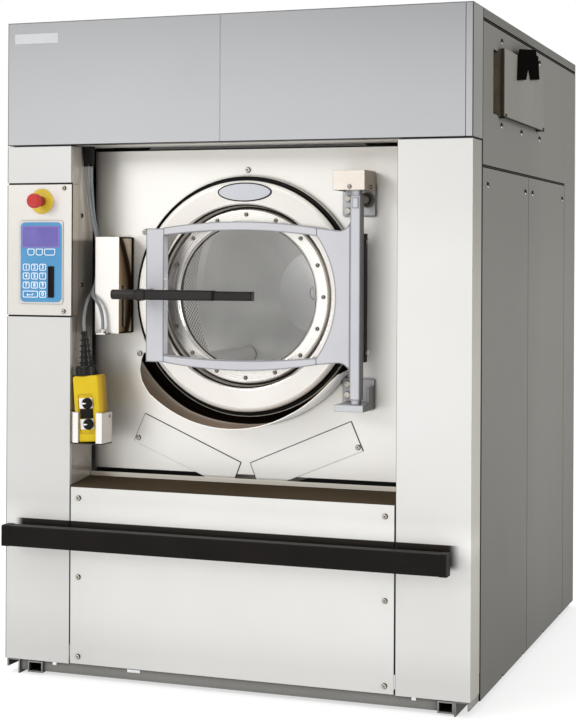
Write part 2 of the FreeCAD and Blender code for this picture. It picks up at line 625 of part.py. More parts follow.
for ang in (98.0, 218.0, 338.0):
    a = math.radians(ang)
    er, et = (math.cos(a), math.sin(a)), (-math.sin(a), math.cos(a))

    def pt(r, t):
        return (er[0] * r + et[0] * t, AX_Z + er[1] * r + et[1] * t)
    skin = prism_xz([pt(470, -88), pt(470, 88), pt(316, 22), pt(316, -22) + pt(300, 0)], 262, DRUM_F1)
    core = prism_xz([pt(480, -88), pt(480, 88), pt(318, 18.6), pt(318, -18.6) + pt(303, 0)], 265, DRUM_F1 + 5)
    lift.append(single(skin.cut(core).common(inside)))
save("drum_lifters", *lift)
pul = revolve_y(
    [
        (SHAFT_R + RUN, PULLEY_F0 - 8), (85, PULLEY_F0 - 8), (85, PULLEY_F0 + 15), (232, PULLEY_F0 + 15), (232, PULLEY_F0), (PULLEY_R, PULLEY_F0),
        (PULLEY_R, PULLEY_F1), (232, PULLEY_F1), (232, PULLEY_F0 + 33), (85, PULLEY_F0 + 33), (85, PULLEY_F1), (SHAFT_R + RUN, PULLEY_F1),
    ],
    0, AX_Z,
)
for k in range(6):
    a = math.radians(60 * k + 30)
    pul = pul.cut(cyl_y(158 * math.cos(a), AX_Z + 158 * math.sin(a), 48, PULLEY_F0 - 10, PULLEY_F1 + 10))
save("drum_pulley", single(pul))
rot = revolve_y([(0, 1000), (19, 1000), (19, PULLEY_F0 - 6), (MOTOR_PULLEY_R, PULLEY_F0 - 6), (MOTOR_PULLEY_R, PULLEY_F1 + 4), (19, PULLEY_F1 + 4), (19, 1196), (0, 1196)], 0, MOTOR_Z)
rot = rot.cut(box(-6, 6, PULLEY_F1 - 4, 1200, MOTOR_Z + 14, MOTOR_Z + 24))
save("motor_rotor", single(rot))
mot = fuse(cyl_y(0, MOTOR_Z, 122, 870, 1096), cyl_y(0, MOTOR_Z, 70, 1090, 1112), box(-90, 90, 885, 1050, 400, 440))
for ang in range(45, 316, 15):
    fin = box(-3, 3, 890, 1080, MOTOR_Z + 118, MOTOR_Z + 134)
    fin.rotate(V(0, F, MOTOR_Z), V(0, 1, 0), ang)
    mot = mot.fuse(fin)
mot = mot.removeSplitter().cut(cyl_y(0, MOTOR_Z, 19 + RUN, 995, 1120))
save("motor_body", single(mot))


def belt_face(r1, r2, f):
    """Outline around two wheels: r1 on the drum axis, r2 on the motor axis below it."""
    d = AX_Z - MOTOR_Z
    b = math.asin((r1 - r2) / d)
    c1, c2 = (0.0, AX_Z), (0.0, MOTOR_Z)

    def on(c, r, sx):
        return (c[0] + sx * r * math.cos(b), c[1] - r * math.sin(b))
    pts = [on(c1, r1, 1), on(c1, r1, -1) + (0.0, AX_Z + r1), on(c2, r2, -1), on(c2, r2, 1) + (0.0, MOTOR_Z - r2)]
    return profile(pts, lambda x, z: V(x, F + f, z))


G = 0.4
outer = belt_face(PULLEY_R + G + 8, MOTOR_PULLEY_R + G + 8, PULLEY_F0 + 4).extrude(V(0, 42, 0))
inner = belt_face(PULLEY_R + G, MOTOR_PULLEY_R + G, PULLEY_F0 + 3).extrude(V(0, 44, 0))
save("drive_belt", single(outer.cut(inner)))

# ---------------------------------------------------------------- lock box
lock = cut(box(-420, -348, 63, PANEL_F, 943, 1209), box(-417, -351, 66, PANEL_F + 1, 946, 1206))
lock = lock.cut(box(-352, -340, 81, 101, 962, 1074))
lock = fuse(lock, box(-402, -374, 32, 64, 941, 944))
lock = lock.fuse(cyl_z(-388, 46, 8.2, 943.5, 955)).removeSplitter()
save("lock_box", single(lock))

# ---------------------------------------------------------------- hinge
low_b = fuse(
    box(283, 361, 45, PANEL_F, 753, 771),
    box(275, 362, 141, PANEL_F, 756, 833),
    box(353, 361, 100, 145, 770, 815),
).cut(cyl_z(HINGE_X, HINGE_F, 10 + RUN, 740, 790))
top_b = fuse(
    box(302, 358, 50, PANEL_F, 1334, 1350),
    box(273, 363, 141, PANEL_F, 1266, 1350),
    cyl_y(341, 1308, 19, 124, 145),
).cut(cyl_z(HINGE_X, HINGE_F, 10 + RUN, 1320, 1360))
save("hinge_brackets", single(low_b), single(top_b))
hc = cut(box(276, 363.5, 43, PANEL_F - 9.3, 1331, 1383), box(278, 361.5, 45, PANEL_F, 1320, 1381))
save("hinge_cover", single(hc))
hb = fuse(
    box(323, 350, 48, 82, 784, 1318),
    cyl_z(HINGE_X, HINGE_F, 10.0, 755, 1348),
    cyl_z(HINGE_X, HINGE_F, 13.5, 771.4, 785),
    cyl_z(HINGE_X, HINGE_F, 13.5, 1317, 1333.6),
    box(329, 345, 45.5, 50, 1284, 1312),
    box(344, 352, 81, 108, 881, 1218),
)
save("hinge_bar", single(hb))

# ---------------------------------------------------------------- door
outer = prism_xz(
    [
        (-260, 869), (-209, 869), (230, 873, 20, 852), (292, 879), (322.9, 852, 312.5, 870.5), (322.9, 1252), (292, 1225, 312.5, 1233.5),
        (230, 1233), (-209, 1234, 20, 1250), (-209, 1232), (-260, 1232),
    ],
    YOKE_F0, YOKE_F1,
)
window = prism_xz([(-208, 888), (230, 891, 20, 878.5), (230, 1211, 282, 1051), (-208, 1213, 20, 1226.5)], YOKE_F0 - 1, YOKE_F1 + 1)
yoke_outline = outer.cut(window)
# weld seams where the straps meet the bar and the hinge plate
for x, z0, z1 in ((-208.0, 865, 890), (-208.0, 1211, 1240), (230.0, 868, 893), (230.0, 1209, 1238)):
    yoke_outline = yoke_outline.cut(box(x - 0.7, x + 0.7, YOKE_F0 - 1, YOKE_F0 + 0.8, z0, z1))
posts = [cyl_y(sx * 110, AX_Z + sz * 186, 8, YOKE_F1 - 4, 132) for sx in (-1, 1) for sz in (-1, 1)]
yoke = fuse(yoke_outline, *posts)
yoke = yoke.cut(cyl_y(PIV_X, PIV_Z, 9 + RUN, 40, 90))
save("door_yoke", single(yoke))
dring = revolve_y(
    [
        (238, 146), (238, 149.5), (196, 149.5), (196, 144.5), (201, 138.5), (207, 132.6, 203, 134), (231, 132), (236.4, 136.5, 235.2, 133.4),
    ],
    0, AX_Z,
)
save("door_ring", dring)
# glass bowl, seated behind the ring
sag, rim, t = 62.0, 205.0, 7.0
gl = revolve_y(
    [(0, 149.8 + sag), (12, 149.8 + sag), (176, 149.8 + 14.0, 98, 149.8 + 48.0), (190, 149.8 + 7.0), (rim, 149.8 + 7.0), (rim, 149.8), (188, 149.8), (172, 149.8 + 7.0),
     (12, 149.8 + sag - t, 96, 149.8 + 40.8), (0, 149.8 + sag - t)],
    0, AX_Z,
)
save("door_glass", gl)
bolts = []
for k in range(16):
    a = math.radians(22.5 * k)
    bolts.append(button_head((226 * math.cos(a) * 0.982, 132.0, AX_Z + 226 * math.sin(a) * 0.982), FRONT, r=5.5, h=4.0))
save("door_bolts", *bolts)

# ---------------------------------------------------------------- door handle and latch dog
lever = fuse(
    cyl_x(PIV_F, PIV_Z, 13.5, -329, -236),
    cyl_y(PIV_X, PIV_Z, 16.5, PIV_F - 15, PIV_F + 8),
    box(-232, -33, PIV_F - 13, PIV_F + 13, PIV_Z - 13.5, PIV_Z + 13.5),
    box(-34, 76, PIV_F - 6, PIV_F + 13, PIV_Z - 13, PIV_Z + 11.5),
    cyl_x(PIV_F, PIV_Z, 13.0, -238, -230),
    cyl_y(PIV_X, PIV_Z, 9.0, PIV_F, 97),
    cyl_y(PIV_X, PIV_Z, 14.0, PIV_F + 5, 49.6),
    box(PIV_X - 14, PIV_X + 14, 85, 96, PIV_Z - 131, PIV_Z + 14),
)
save("door_handle", single(lever))

# ---------------------------------------------------------------- screws
scr = []
for x in (-436.0, 436.0):
    for z in (495.0, 279.0, 62.0):
        scr.append(button_head((x, 0.0, z), FRONT))
for x, z in ((-484.5, 1342.0), (-484.5, 1004.0)):
    scr.append(button_head((x, 0.0, z), FRONT, r=6.0))
for z in (1268.0, 1076.0):
    scr.append(button_head((-COL_IN, 64.0, z), RIGHT, r=6.0))
for s, d in ((1, RIGHT), (-1, LEFT)):
    for f in (163.0, 639.0, 741.0, 1214.0):
        scr.append(button_head((s * HX, f, 1346.0), d))
    if s > 0:
        for f, z in ((322.0, 1738.0), (322.0, 1512.0), (581.0, 1512.0), (841.0, 1512.0), (838.0, 1738.0)):
            scr.append(button_head((s * HX, f, z), d))
for x in (-560.0, -200.0, 200.0, 560.0):
    for z in (60.0, 960.0, 1040.0, 1740.0):
        scr.append(button_head((x, D, z), BACK))
save("panel_screws", *scr)
us = []
for x, z in ((-2.0, 1393.0), (-310.0, 1224.0), (-324.0, 885.0), (333.0, 1200.0), (333.0, 904.0)):
    us.append(button_head((x, PANEL_F, z), FRONT, r=7.5))
for x, z in ((-326.0, 650.0), (316.0, 650.0)):
    us.append(button_head((x, PANEL_F - 2, z), FRONT, r=7.5))
for x, z in ((287.0, 1312.0), (287.0, 1279.0), (288.0, 819.0), (288.0, 790.0)):
    us.append(hex_head((x, 141.0, z), FRONT, r=9.5, h=7.0))
us.append(button_head((322.0, 43.0, 1340.0), FRONT, r=5.5))
us.append(button_head((363.5, 96.0, 1340.0), RIGHT, r=5.5))
save("unit_screws", *us)
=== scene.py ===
import bpy
import bmesh
import math
from mathutils import Matrix, Vector


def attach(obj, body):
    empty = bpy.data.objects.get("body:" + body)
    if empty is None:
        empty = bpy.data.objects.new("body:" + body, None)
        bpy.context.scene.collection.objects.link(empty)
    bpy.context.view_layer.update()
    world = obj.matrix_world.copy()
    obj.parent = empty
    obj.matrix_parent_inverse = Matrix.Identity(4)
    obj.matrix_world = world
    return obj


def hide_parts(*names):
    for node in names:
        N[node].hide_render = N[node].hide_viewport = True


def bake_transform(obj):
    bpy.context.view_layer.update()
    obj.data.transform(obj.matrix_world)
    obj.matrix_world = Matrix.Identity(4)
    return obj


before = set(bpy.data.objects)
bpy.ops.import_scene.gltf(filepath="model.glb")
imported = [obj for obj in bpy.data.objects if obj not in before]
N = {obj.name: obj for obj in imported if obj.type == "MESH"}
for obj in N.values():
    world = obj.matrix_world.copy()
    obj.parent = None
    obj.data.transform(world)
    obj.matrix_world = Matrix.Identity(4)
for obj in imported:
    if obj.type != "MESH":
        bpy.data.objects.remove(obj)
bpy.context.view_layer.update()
F = -0.725          # Y of the cabinet's front plane, metres


def mm(x, f, z):
    """A point from millimetres: x, depth behind the front plane, height."""
    return Vector((x / 1000.0, F + f / 1000.0, z / 1000.0))


# ------------------------------------------------------------------ colour
def lin(c):
    c = c / 255.0
    return c / 12.92 if c <= 0.04045 else ((c + 0.055) / 1.055) ** 2.4


def rgb(r, g, b):
    return (lin(r), lin(g), lin(b), 1.0)


# ------------------------------------------------------------------ shader helper
class Mat:
    def __init__(self, name):
        self.m = bpy.data.materials.new(name)
        self.m.use_nodes = True
        self.nt = self.m.node_tree
        self.nt.nodes.clear()
        self.out = self.n("ShaderNodeOutputMaterial")
        self.b = self.n("ShaderNodeBsdfPrincipled")
        self.l(self.b.outputs[0], self.out.inputs[0])
        self.tc = self.n("ShaderNodeTexCoord")
        self._xyz = None

    def n(self, kind, **kw):
        node = self.nt.nodes.new(kind)
        for k, v in kw.items():
            setattr(node, k, v)
        return node

    def l(self, a, b):
        self.nt.links.new(a, b)

    def put(self, socket, v):
        if hasattr(v, "is_output"):
            self.l(v, socket)
        else:
            socket.default_value = v

    def set(self, **kw):
        for k, v in kw.items():
            self.put(self.b.inputs[k.replace("_", " ")], v)
        return self

    def obj(self):
        return self.tc.outputs["Object"]

    def xyz(self):
        if self._xyz is None:
            s = self.n("ShaderNodeSeparateXYZ")
            self.l(self.obj(), s.inputs[0])
            self._xyz = s
        return self._xyz.outputs

    def math(self, op, a, b=0.0, c=None, clamp=False):
        m = self.n("ShaderNodeMath", operation=op, use_clamp=clamp)
        self.put(m.inputs[0], a)
        self.put(m.inputs[1], b)
        if c is not None:
            self.put(m.inputs[2], c)
        return m.outputs[0]

    def step(self, v, lo, hi):
        """0 below lo, 1 above hi, smooth between."""
        m = self.n("ShaderNodeMapRange", interpolation_type="SMOOTHSTEP")
        self.put(m.inputs["Value"], v)
        m.inputs["From Min"].default_value = lo
        m.inputs["From Max"].default_value = hi
        return m.outputs[0]

    def rng(self, v, a, b, c, d):
        m = self.n("ShaderNodeMapRange")
        self.put(m.inputs["Value"], v)
        for k, x in zip(("From Min", "From Max", "To Min", "To Max"), (a, b, c, d)):
            m.inputs[k].default_value = x
        return m.outputs[0]

    def noise(self, scale=1.0, stretch=(1, 1, 1), detail=3.0, rough=0.5, distort=0.0, seed=(0, 0, 0)):
        mp = self.n("ShaderNodeMapping")
        self.l(self.obj(), mp.inputs["Vector"])
        mp.inputs["Scale"].default_value = stretch
        mp.inputs["Location"].default_value = seed
        t = self.n("ShaderNodeTexNoise")
        self.l(mp.outputs[0], t.inputs["Vector"])
        t.inputs["Scale"].default_value = scale
        t.inputs["Detail"].default_value = detail
        t.inputs["Roughness"].default_value = rough
        t.inputs["Distortion"].default_value = distort
        return t.outputs["Fac"]

    def mix(self, fac, a, b):
        m = self.n("ShaderNodeMix", data_type="RGBA")
        self.put(m.inputs[0], fac)
        self.put(m.inputs[6], a)
        self.put(m.inputs[7], b)
        return m.outputs[2]

    def mixf(self, fac, a, b):
        m = self.n("ShaderNodeMix", data_type="FLOAT")
        self.put(m.inputs[0], fac)
        self.put(m.inputs[2], a)
        self.put(m.inputs[3], b)
        return m.outputs[0]

    def bevel(self, radius=0.0012, samples=3):
        b = self.n("ShaderNodeBevel", samples=samples)
        b.inputs["Radius"].default_value = radius
        return b.outputs[0]

    def bump(self, height, strength=0.1, distance=0.0005, normal=None):
        b = self.n("ShaderNodeBump")
        b.inputs["Strength"].default_value = strength
        b.inputs["Distance"].default_value = distance
        self.l(height, b.inputs["Height"])
        if normal is not None:
            self.l(normal, b.inputs["Normal"])
        return b.outputs[0]

    def ao(self, distance=0.02, lo=0.25, hi=0.85, samples=5):
        """Occlusion mask for painted shade: 0 deep in a joint or corner, 1 on open ground."""
        a = self.n("ShaderNodeAmbientOcclusion", samples=samples)
        a.inputs["Distance"].default_value = distance
        return self.step(a.outputs["AO"], lo, hi)

    def facing(self, axis, lo=0.5, hi=0.8, sign=1.0):
        """1 where the surface looks along +axis (0 X, 1 Y, 2 Z), or along -axis with sign -1."""
        g = self.n("ShaderNodeNewGeometry")
        s = self.n("ShaderNodeSeparateXYZ")
        self.l(g.outputs["Normal"], s.inputs[0])
        return self.step(self.math("MULTIPLY", s.outputs[axis], sign), lo, hi)

    def edge(self, radius=0.003, samples=4):
        """1 on sharp edges, 0 on flat ground."""
        b = self.bevel(radius, samples)
        g = self.n("ShaderNodeNewGeometry")
        d = self.n("ShaderNodeVectorMath", operation="DOT_PRODUCT")
        self.l(b, d.inputs[0])
        self.l(g.outputs["Normal"], d.inputs[1])
        return self.step(self.math("SUBTRACT", 1.0, d.outputs["Value"]), 0.02, 0.22)


    def rim(self, dist=0.006):
        """1 along the outer edges of a solid part, 0 on its faces."""
        a = self.n("ShaderNodeAmbientOcclusion", inside=True, only_local=True, samples=8)
        a.inputs["Distance"].default_value = dist
        return self.step(self.math("SUBTRACT", 1.0, a.outputs["AO"]), 0.12, 0.34)

    def tone(self, col, v, stops):
        """Colour scaled along v by the factors of the stops (value, factor)."""
        lo, hi = stops[0][0], stops[-1][0]
        r = self.n("ShaderNodeValToRGB")
        self.l(self.rng(v, lo, hi, 0.0, 1.0), r.inputs["Fac"])
        e = r.color_ramp.elements
        for i, (p, k) in enumerate(stops):
            if i == 0:
                q = e[0]
            elif i == len(stops) - 1:
                q = e[len(e) - 1]
            else:
                q = e.new((p - lo) / (hi - lo))
            q.color = (k, k, k, 1)
        m = self.n("ShaderNodeMix", data_type="RGBA", blend_type="MULTIPLY")
        m.inputs[0].default_value = 1.0
        self.put(m.inputs[6], col)
        self.l(r.outputs["Color"], m.inputs[7])
        return m.outputs[2]

    def rad(self, cx=0.0, cz=1.049):
        """Distance from an axis along Y."""
        dx, dz = self.math("SUBTRACT", self.xyz()[0], cx), self.math("SUBTRACT", self.xyz()[2], cz)
        return self.math("SQRT", self.math("ADD", self.math("MULTIPLY", dx, dx), self.math("MULTIPLY", dz, dz)))

    def below(self, v, lo, hi):
        """1 below lo, 0 above hi."""
        return self.math("SUBTRACT", 1.0, self.step(v, lo, hi))


def sheet_metal(name, a, b, rough=0.22, spread=0.03, grain=(1500, 1500, 9), bump=0.01, metal=1.0, edge_c=None, smudge=2.2, bev=0.0012, seed=(0, 0, 0), joint=0.02, crevice_shade_c=(0.012, 0.010, 0.008, 1), extra=None, grain_tone=0.06, side_shade_c=None, matte=None, edge_r=0.003):
    """Satin stainless: fine directional grain, soft cloudiness, bevel-rounded edges; painted shade in joints and
    corners, optional painted side shade on faces looking along X, optional edge colour used for painted dark edge
    lines.
    """
    g = Mat(name)
    cloud = g.noise(smudge, detail=4.0, rough=0.55, seed=seed)
    fine = g.noise(1.0, stretch=grain, detail=2.0, rough=0.6, seed=seed)
    col = g.mix(g.rng(cloud, 0.3, 0.7, 0.0, 1.0), a, b)
    col = g.mix(g.math("MULTIPLY", g.step(fine, 0.35, 0.75), grain_tone), col, (b[0] * 0.8, b[1] * 0.8, b[2] * 0.79, 1))
    # painted side shade on the faces looking along X
    if side_shade_c is not None:
        col = g.mix(g.facing(0), col, side_shade_c)
    # painted dark line along the edges
    if edge_c is not None:
        col = g.mix(g.math("MULTIPLY", g.edge(edge_r), 0.75), col, edge_c)
    if extra is not None:
        col = extra(g, col)
    # painted shade in joints and corners, from occlusion
    if joint:
        col = g.mix(g.ao(joint), crevice_shade_c, col)
    r = g.math("ADD", g.rng(fine, 0.2, 0.8, rough - spread, rough + spread), g.math("MULTIPLY", g.step(cloud, 0.5, 0.75), 0.03))
    g.set(Base_Color=col, Roughness=r, Metallic=metal, Normal=g.bump(fine, bump, 0.0003, g.bevel(bev)))
    if matte is not None:
        g.set(Metallic=g.math("MULTIPLY", g.math("SUBTRACT", 1.0, matte(g)), metal), Specular_IOR_Level=0.0)
    return g.m


def paint(name, a, b, rough=0.42, peel=0.06, metal=0.0, edge_c=None, cloud=2.0, bev=0.0012, coat=0.0, spec=0.5, joint=0.02, crevice_shade_c=(0.012, 0.011, 0.010, 1), grime=0.06, extra=None, matte=None, edge_r=0.0025, rim_c=None):
    """Painted or powder-coated sheet: orange peel, uneven tone, grime; painted shade in joints and corners, an edge
    colour (lighter worn edges on the frame, painted dark outlines on the brackets), optional painted dark outline along
    the rims.
    """
    g = Mat(name)
    big = g.noise(cloud, detail=3.0, rough=0.5)
    peel_n = g.noise(420.0, detail=2.0, rough=0.5)
    dirt = g.noise(5.0, detail=5.0, rough=0.6, distort=0.4, seed=(5, 1, 2))
    col = g.mix(g.rng(big, 0.3, 0.7, 0.0, 1.0), a, b)
    col = g.mix(g.math("MULTIPLY", g.step(dirt, 0.45, 0.8), grime), col, (b[0] * 0.72, b[1] * 0.71, b[2] * 0.68, 1))
    # edge colour: lighter for worn edges, darker for a painted dark outline
    if edge_c is not None:
        col = g.mix(g.math("MULTIPLY", g.edge(edge_r), 0.75), col, edge_c)
    # painted dark outline along the rims
    if rim_c is not None:
        col = g.mix(g.math("MULTIPLY", g.rim(), 0.8), col, rim_c)
    if extra is not None:
        col = extra(g, col)
    # painted shade in joints and corners, from occlusion
    if joint:
        col = g.mix(g.ao(joint), crevice_shade_c, col)
    r = g.math("ADD", g.rng(peel_n, 0.2, 0.8, rough - 0.04, rough + 0.04), g.math("MULTIPLY", g.step(dirt, 0.5, 0.75), 0.05))
    g.set(Base_Color=col, Roughness=r, Metallic=metal, Coat_Weight=coat, Coat_Roughness=0.15, Specular_IOR_Level=spec, Normal=g.bump(peel_n, peel, 0.0004, g.bevel(bev)))
    if matte is not None:
        g.set(Metallic=g.math("MULTIPLY", g.math("SUBTRACT", 1.0, matte(g)), metal), Specular_IOR_Level=0.0)
    return g.m


def plastic(name, a, b, rough=0.45, grain=900.0, bump=0.08, edge_c=None, spec=0.45, scuff=0.15, bev=0.001, edge_r=0.002, extra=None, rim_c=None):
    """Moulded plastic with a fine spark-eroded grain and faint scuffs; optional painted highlight along its edges,
    optional painted dark outline along its rims.
    """
    g = Mat(name)
    big = g.noise(11.0, detail=3.0, rough=0.5)
    fine = g.noise(grain, detail=2.0, rough=0.55)
    scr = g.noise(60.0, stretch=(1, 1, 0.12), detail=4.0, rough=0.7, distort=0.4, seed=(1, 3, 6))
    col = g.mix(g.rng(big, 0.3, 0.7, 0.0, 1.0), a, b)
    col = g.mix(g.math("MULTIPLY", g.step(scr, 0.62, 0.78), scuff), col, (min(1, a[0] * 1.6 + 0.02), min(1, a[1] * 1.6 + 0.02), min(1, a[2] * 1.6 + 0.02), 1))
    # painted highlight along the edges
    if edge_c is not None:
        col = g.mix(g.math("MULTIPLY", g.edge(edge_r), 0.65), col, edge_c)
    # painted dark outline along the rims
    if rim_c is not None:
        col = g.mix(g.math("MULTIPLY", g.rim(0.008), 0.9), col, rim_c)
    if extra is not None:
        col = extra(g, col)
    g.set(Base_Color=col, Roughness=g.rng(fine, 0.2, 0.8, rough - 0.06, rough + 0.06), Specular_IOR_Level=spec, Normal=g.bump(fine, bump, 0.0003, g.bevel(bev)))
    return g.m


def rubber(name, a, b, rough=0.62, bump=0.15, spec=0.2):
    g = Mat(name)
    big = g.noise(16.0, detail=4.0, rough=0.6)
    fine = g.noise(1400.0, detail=2.0, rough=0.6)
    dust = g.noise(40.0, detail=6.0, rough=0.7, seed=(2, 5, 3))
    col = g.mix(g.rng(big, 0.3, 0.7, 0.0, 1.0), a, b)
    col = g.mix(g.math("MULTIPLY", g.step(dust, 0.55, 0.8), 0.25), col, (a[0] + 0.03, a[1] + 0.028, a[2] + 0.025, 1))
    g.set(Base_Color=col, Roughness=g.rng(fine, 0.2, 0.8, rough - 0.08, rough + 0.08), Specular_IOR_Level=spec, Normal=g.bump(fine, bump, 0.0003, g.bevel(0.0008)))
    return g.m


def polished(name, a, b, rough=0.06, centre=(0.0, 1.049), edge_shade_r=None, edge_shade_c=(0.035, 0.028, 0.019, 1), joint=0.012, lines=(), metal=1.0, tone_x=None):
    """Polished pressing: fine concentric turning marks about the drum axis, hazy patches; optional painted shading
    across X, painted shade on the rolled edge, painted highlight and shade bands by radius, painted shade in corners.
    """
    g = Mat(name)
    x, y, z = g.xyz()[0], g.xyz()[1], g.xyz()[2]
    dx = g.math("SUBTRACT", x, centre[0])
    dz = g.math("SUBTRACT", z, centre[1])
    rad = g.rad(*centre)
    c = g.n("ShaderNodeCombineXYZ")
    g.l(g.math("MULTIPLY", rad, 900.0), c.inputs[0])
    g.l(g.math("MULTIPLY", y, 900.0), c.inputs[1])
    g.l(g.math("MULTIPLY", g.math("ARCTAN2", dz, dx), 2.0), c.inputs[2])
    t = g.n("ShaderNodeTexNoise")
    g.l(c.outputs[0], t.inputs["Vector"])
    t.inputs["Scale"].default_value = 1.0
    t.inputs["Detail"].default_value = 2.0
    turn = t.outputs["Fac"]
    cloud = g.noise(5.0, detail=4.0, rough=0.6)
    col = g.mix(g.rng(cloud, 0.3, 0.7, 0.0, 1.0), a, b)
    shiny = metal
    # painted shading across X
    if tone_x is not None:
        col = g.tone(col, g.xyz()[0], tone_x)
    # painted shade on the rolled edge
    if edge_shade_r is not None:
        col = g.mix(g.step(rad, edge_shade_r[0], edge_shade_r[1]), col, edge_shade_c)
        shiny = g.math("MULTIPLY", g.below(rad, edge_shade_r[0], edge_shade_r[1]), shiny)
    # painted highlight and shade bands by radius
    for r0, r1, c1 in lines:
        m = g.math("MULTIPLY", g.step(rad, r0 - 0.0003, r0 + 0.0003), g.below(rad, r1 - 0.0003, r1 + 0.0003))
        col = g.mix(m, col, c1)
        shiny = g.math("MULTIPLY", g.math("SUBTRACT", 1.0, m), shiny)
    # painted shade in corners, from occlusion
    if joint:
        col = g.mix(g.ao(joint, 0.15, 0.7), (0.02, 0.017, 0.012, 1), col)
    r = g.math("ADD", g.rng(turn, 0.2, 0.8, rough * 0.6, rough * 1.4), g.math("MULTIPLY", g.step(cloud, 0.5, 0.75), 0.04))
    g.set(Base_Color=col, Roughness=r, Metallic=shiny, Specular_IOR_Level=0.0, Normal=g.bump(turn, 0.006, 0.0002, g.bevel(0.0012)))
    return g.m


# ------------------------------------------------------------------ materials
def left_line(g, col, side=rgb(166, 162, 152)):
    """Painted shade along the rounded left edge of the cabinet; the face round the corner given the darker side colour
    (painted side shade).
    """
    end = g.below(g.xyz()[0], -0.6587, -0.6577)
    col = g.mix(end, col, rgb(72, 70, 66))
    return g.mix(g.math("MULTIPLY", end, g.facing(0, 0.93, 0.98, -1.0)), col, side)


def painted_bumper_reflection(g, col):
    """Painted reflection of the bumper bar: a dark band on the front sheets just above it and at its right end; the
    sheet above the band lightened with painted light against the bar's shadow.
    """
    x, z = g.xyz()[0], g.xyz()[2]
    col = g.tone(col, z, ((0.38, 1.0), (0.431, 1.22), (0.455, 1.12), (0.49, 1.0)))
    m = g.math("MULTIPLY", g.below(z, 0.4308, 0.4322), g.step(z, 0.366, 0.382))
    m = g.math("MULTIPLY", m, g.math("MULTIPLY", g.step(x, -0.632, -0.606), g.below(x, 0.602, 0.634)))
    return g.mix(m, col, g.mix(g.step(z, 0.405, 0.431), rgb(13, 11, 9), rgb(44, 37, 31)))


def left_tone(g, col):
    """Left column: painted shading, darker towards the floor and towards its top, a black line along its top edge; the
    joggled edge behind the control plate dark.
    """
    x, y, z = g.xyz()[0], g.xyz()[1], g.xyz()[2]
    col = painted_bumper_reflection(g, col)
    col = g.tone(col, z, ((0.08, 0.84), (0.20, 0.93), (0.45, 0.91), (0.70, 0.90), (0.95, 0.91), (1.20, 0.84), (1.40, 0.80), (1.4565, 0.78), (1.4575, 0.06), (1.46, 0.06)))
    m = g.math("MULTIPLY", g.step(y, F + 0.0024, F + 0.0028), g.below(y, F + 0.0054, F + 0.006))
    m = g.math("MULTIPLY", m, g.math("MULTIPLY", g.step(x, -0.6579, -0.6577), g.below(x, -0.4664, -0.4662)))
    return left_line(g, g.mix(m, col, (0.008, 0.006, 0.005, 1)))


def right_tone(g, col):
    """Right column: painted shading, brightest at door height, a black line along its top edge; a dark line along its
    inner edge.
    """
    col = g.mix(g.below(g.xyz()[0], 0.4646, 0.4652), painted_bumper_reflection(g, col), rgb(96, 90, 81))
    return g.tone(col, g.xyz()[2], ((0.08, 0.82), (0.16, 0.93), (0.30, 0.96), (0.60, 0.97), (0.90, 1.0), (1.15, 0.98), (1.30, 0.91), (1.4565, 0.87), (1.4575, 0.06), (1.46, 0.06)))


def lower_tone(g, col):
    """Lower panel: painted shading, a little darker at its foot and left end."""
    col = g.tone(painted_bumper_reflection(g, col), g.xyz()[2], ((0.09, 0.80), (0.17, 0.90), (0.30, 0.97), (0.44, 1.0), (0.5, 0.96)))
    return g.tone(col, g.xyz()[0], ((-0.46, 0.90), (-0.30, 0.96), (-0.10, 1.0), (0.46, 1.0)))


# painted shade of the recess lining, darkest beside the lock box
LINER_SHADE = ((0.52, 0.62), (0.70, 0.66), (0.88, 0.55), (1.00, 0.38), (1.196, 0.40), (1.204, 0.92), (1.30, 0.95), (1.46, 0.95))


def plate_side(g):
    """The turned inner edge of the control plate."""
    return g.facing(0)


def plate_tone(g, col):
    """Control plate: its turned inner edge painted a brown shade that deepens beside the lock box, with a dark line
    next to the front.
    """
    y = g.xyz()[1]
    brown = g.tone(rgb(176, 166, 152), g.xyz()[2], LINER_SHADE)
    side = g.mix(g.step(y, F + 0.0055, F + 0.008), rgb(30, 25, 20), brown)
    return left_line(g, g.mix(plate_side(g), col, side))


def liner_tone(g, col):
    """Lining of the recess: painted shade, deepest beside the lock box, lighter above it; its downward faces painted
    light.
    """
    col = g.tone(col, g.xyz()[2], LINER_SHADE)
    return g.mix(g.facing(2, 0.5, 0.8, -1.0), col, rgb(250, 246, 240))


def header_tone(g, col):
    """Header: painted shading, darker towards its top; painted side shade on its faces looking along X; dark lines
    along its top and bottom edges; painted shade on its right corner and along its left edge.
    """
    x, z = g.xyz()[0], g.xyz()[2]
    col = g.tone(col, z, ((1.46, 1.0), (1.56, 0.95), (1.68, 0.84), (1.80, 0.70)))
    col = g.mix(g.facing(0), col, rgb(137, 137, 133))
    col = g.mix(g.below(z, 1.4618, 1.4626), col, rgb(20, 19, 18))
    corner = g.math("MULTIPLY", g.step(x, 0.6578, 0.6584), g.below(g.xyz()[1], F + 0.0035, F + 0.0045))
    col = g.mix(corner, col, rgb(40, 39, 38))
    return left_line(g, g.mix(g.step(z, 1.7972, 1.7982), col, rgb(90, 90, 89)), rgb(137, 137, 133))


def side_seam(g):
    """1 on the dark joints of the side panels."""
    y, z = g.xyz()[1], g.xyz()[2]
    seam = g.math("MAXIMUM", g.below(g.math("ABSOLUTE", g.math("SUBTRACT", z, 1.771)), 0.0042, 0.0052), g.math("MULTIPLY", g.below(g.math("ABSOLUTE", g.math("SUBTRACT", z, 1.393)), 0.0034, 0.0044), g.below(y, F + 1.256, F + 1.257)))
    seam = g.math("MAXIMUM", seam, g.below(y, F + 0.1096, F + 0.1104))
    return g.math("MULTIPLY", seam, g.step(g.math("ABSOLUTE", g.xyz()[0]), 0.640, 0.645))


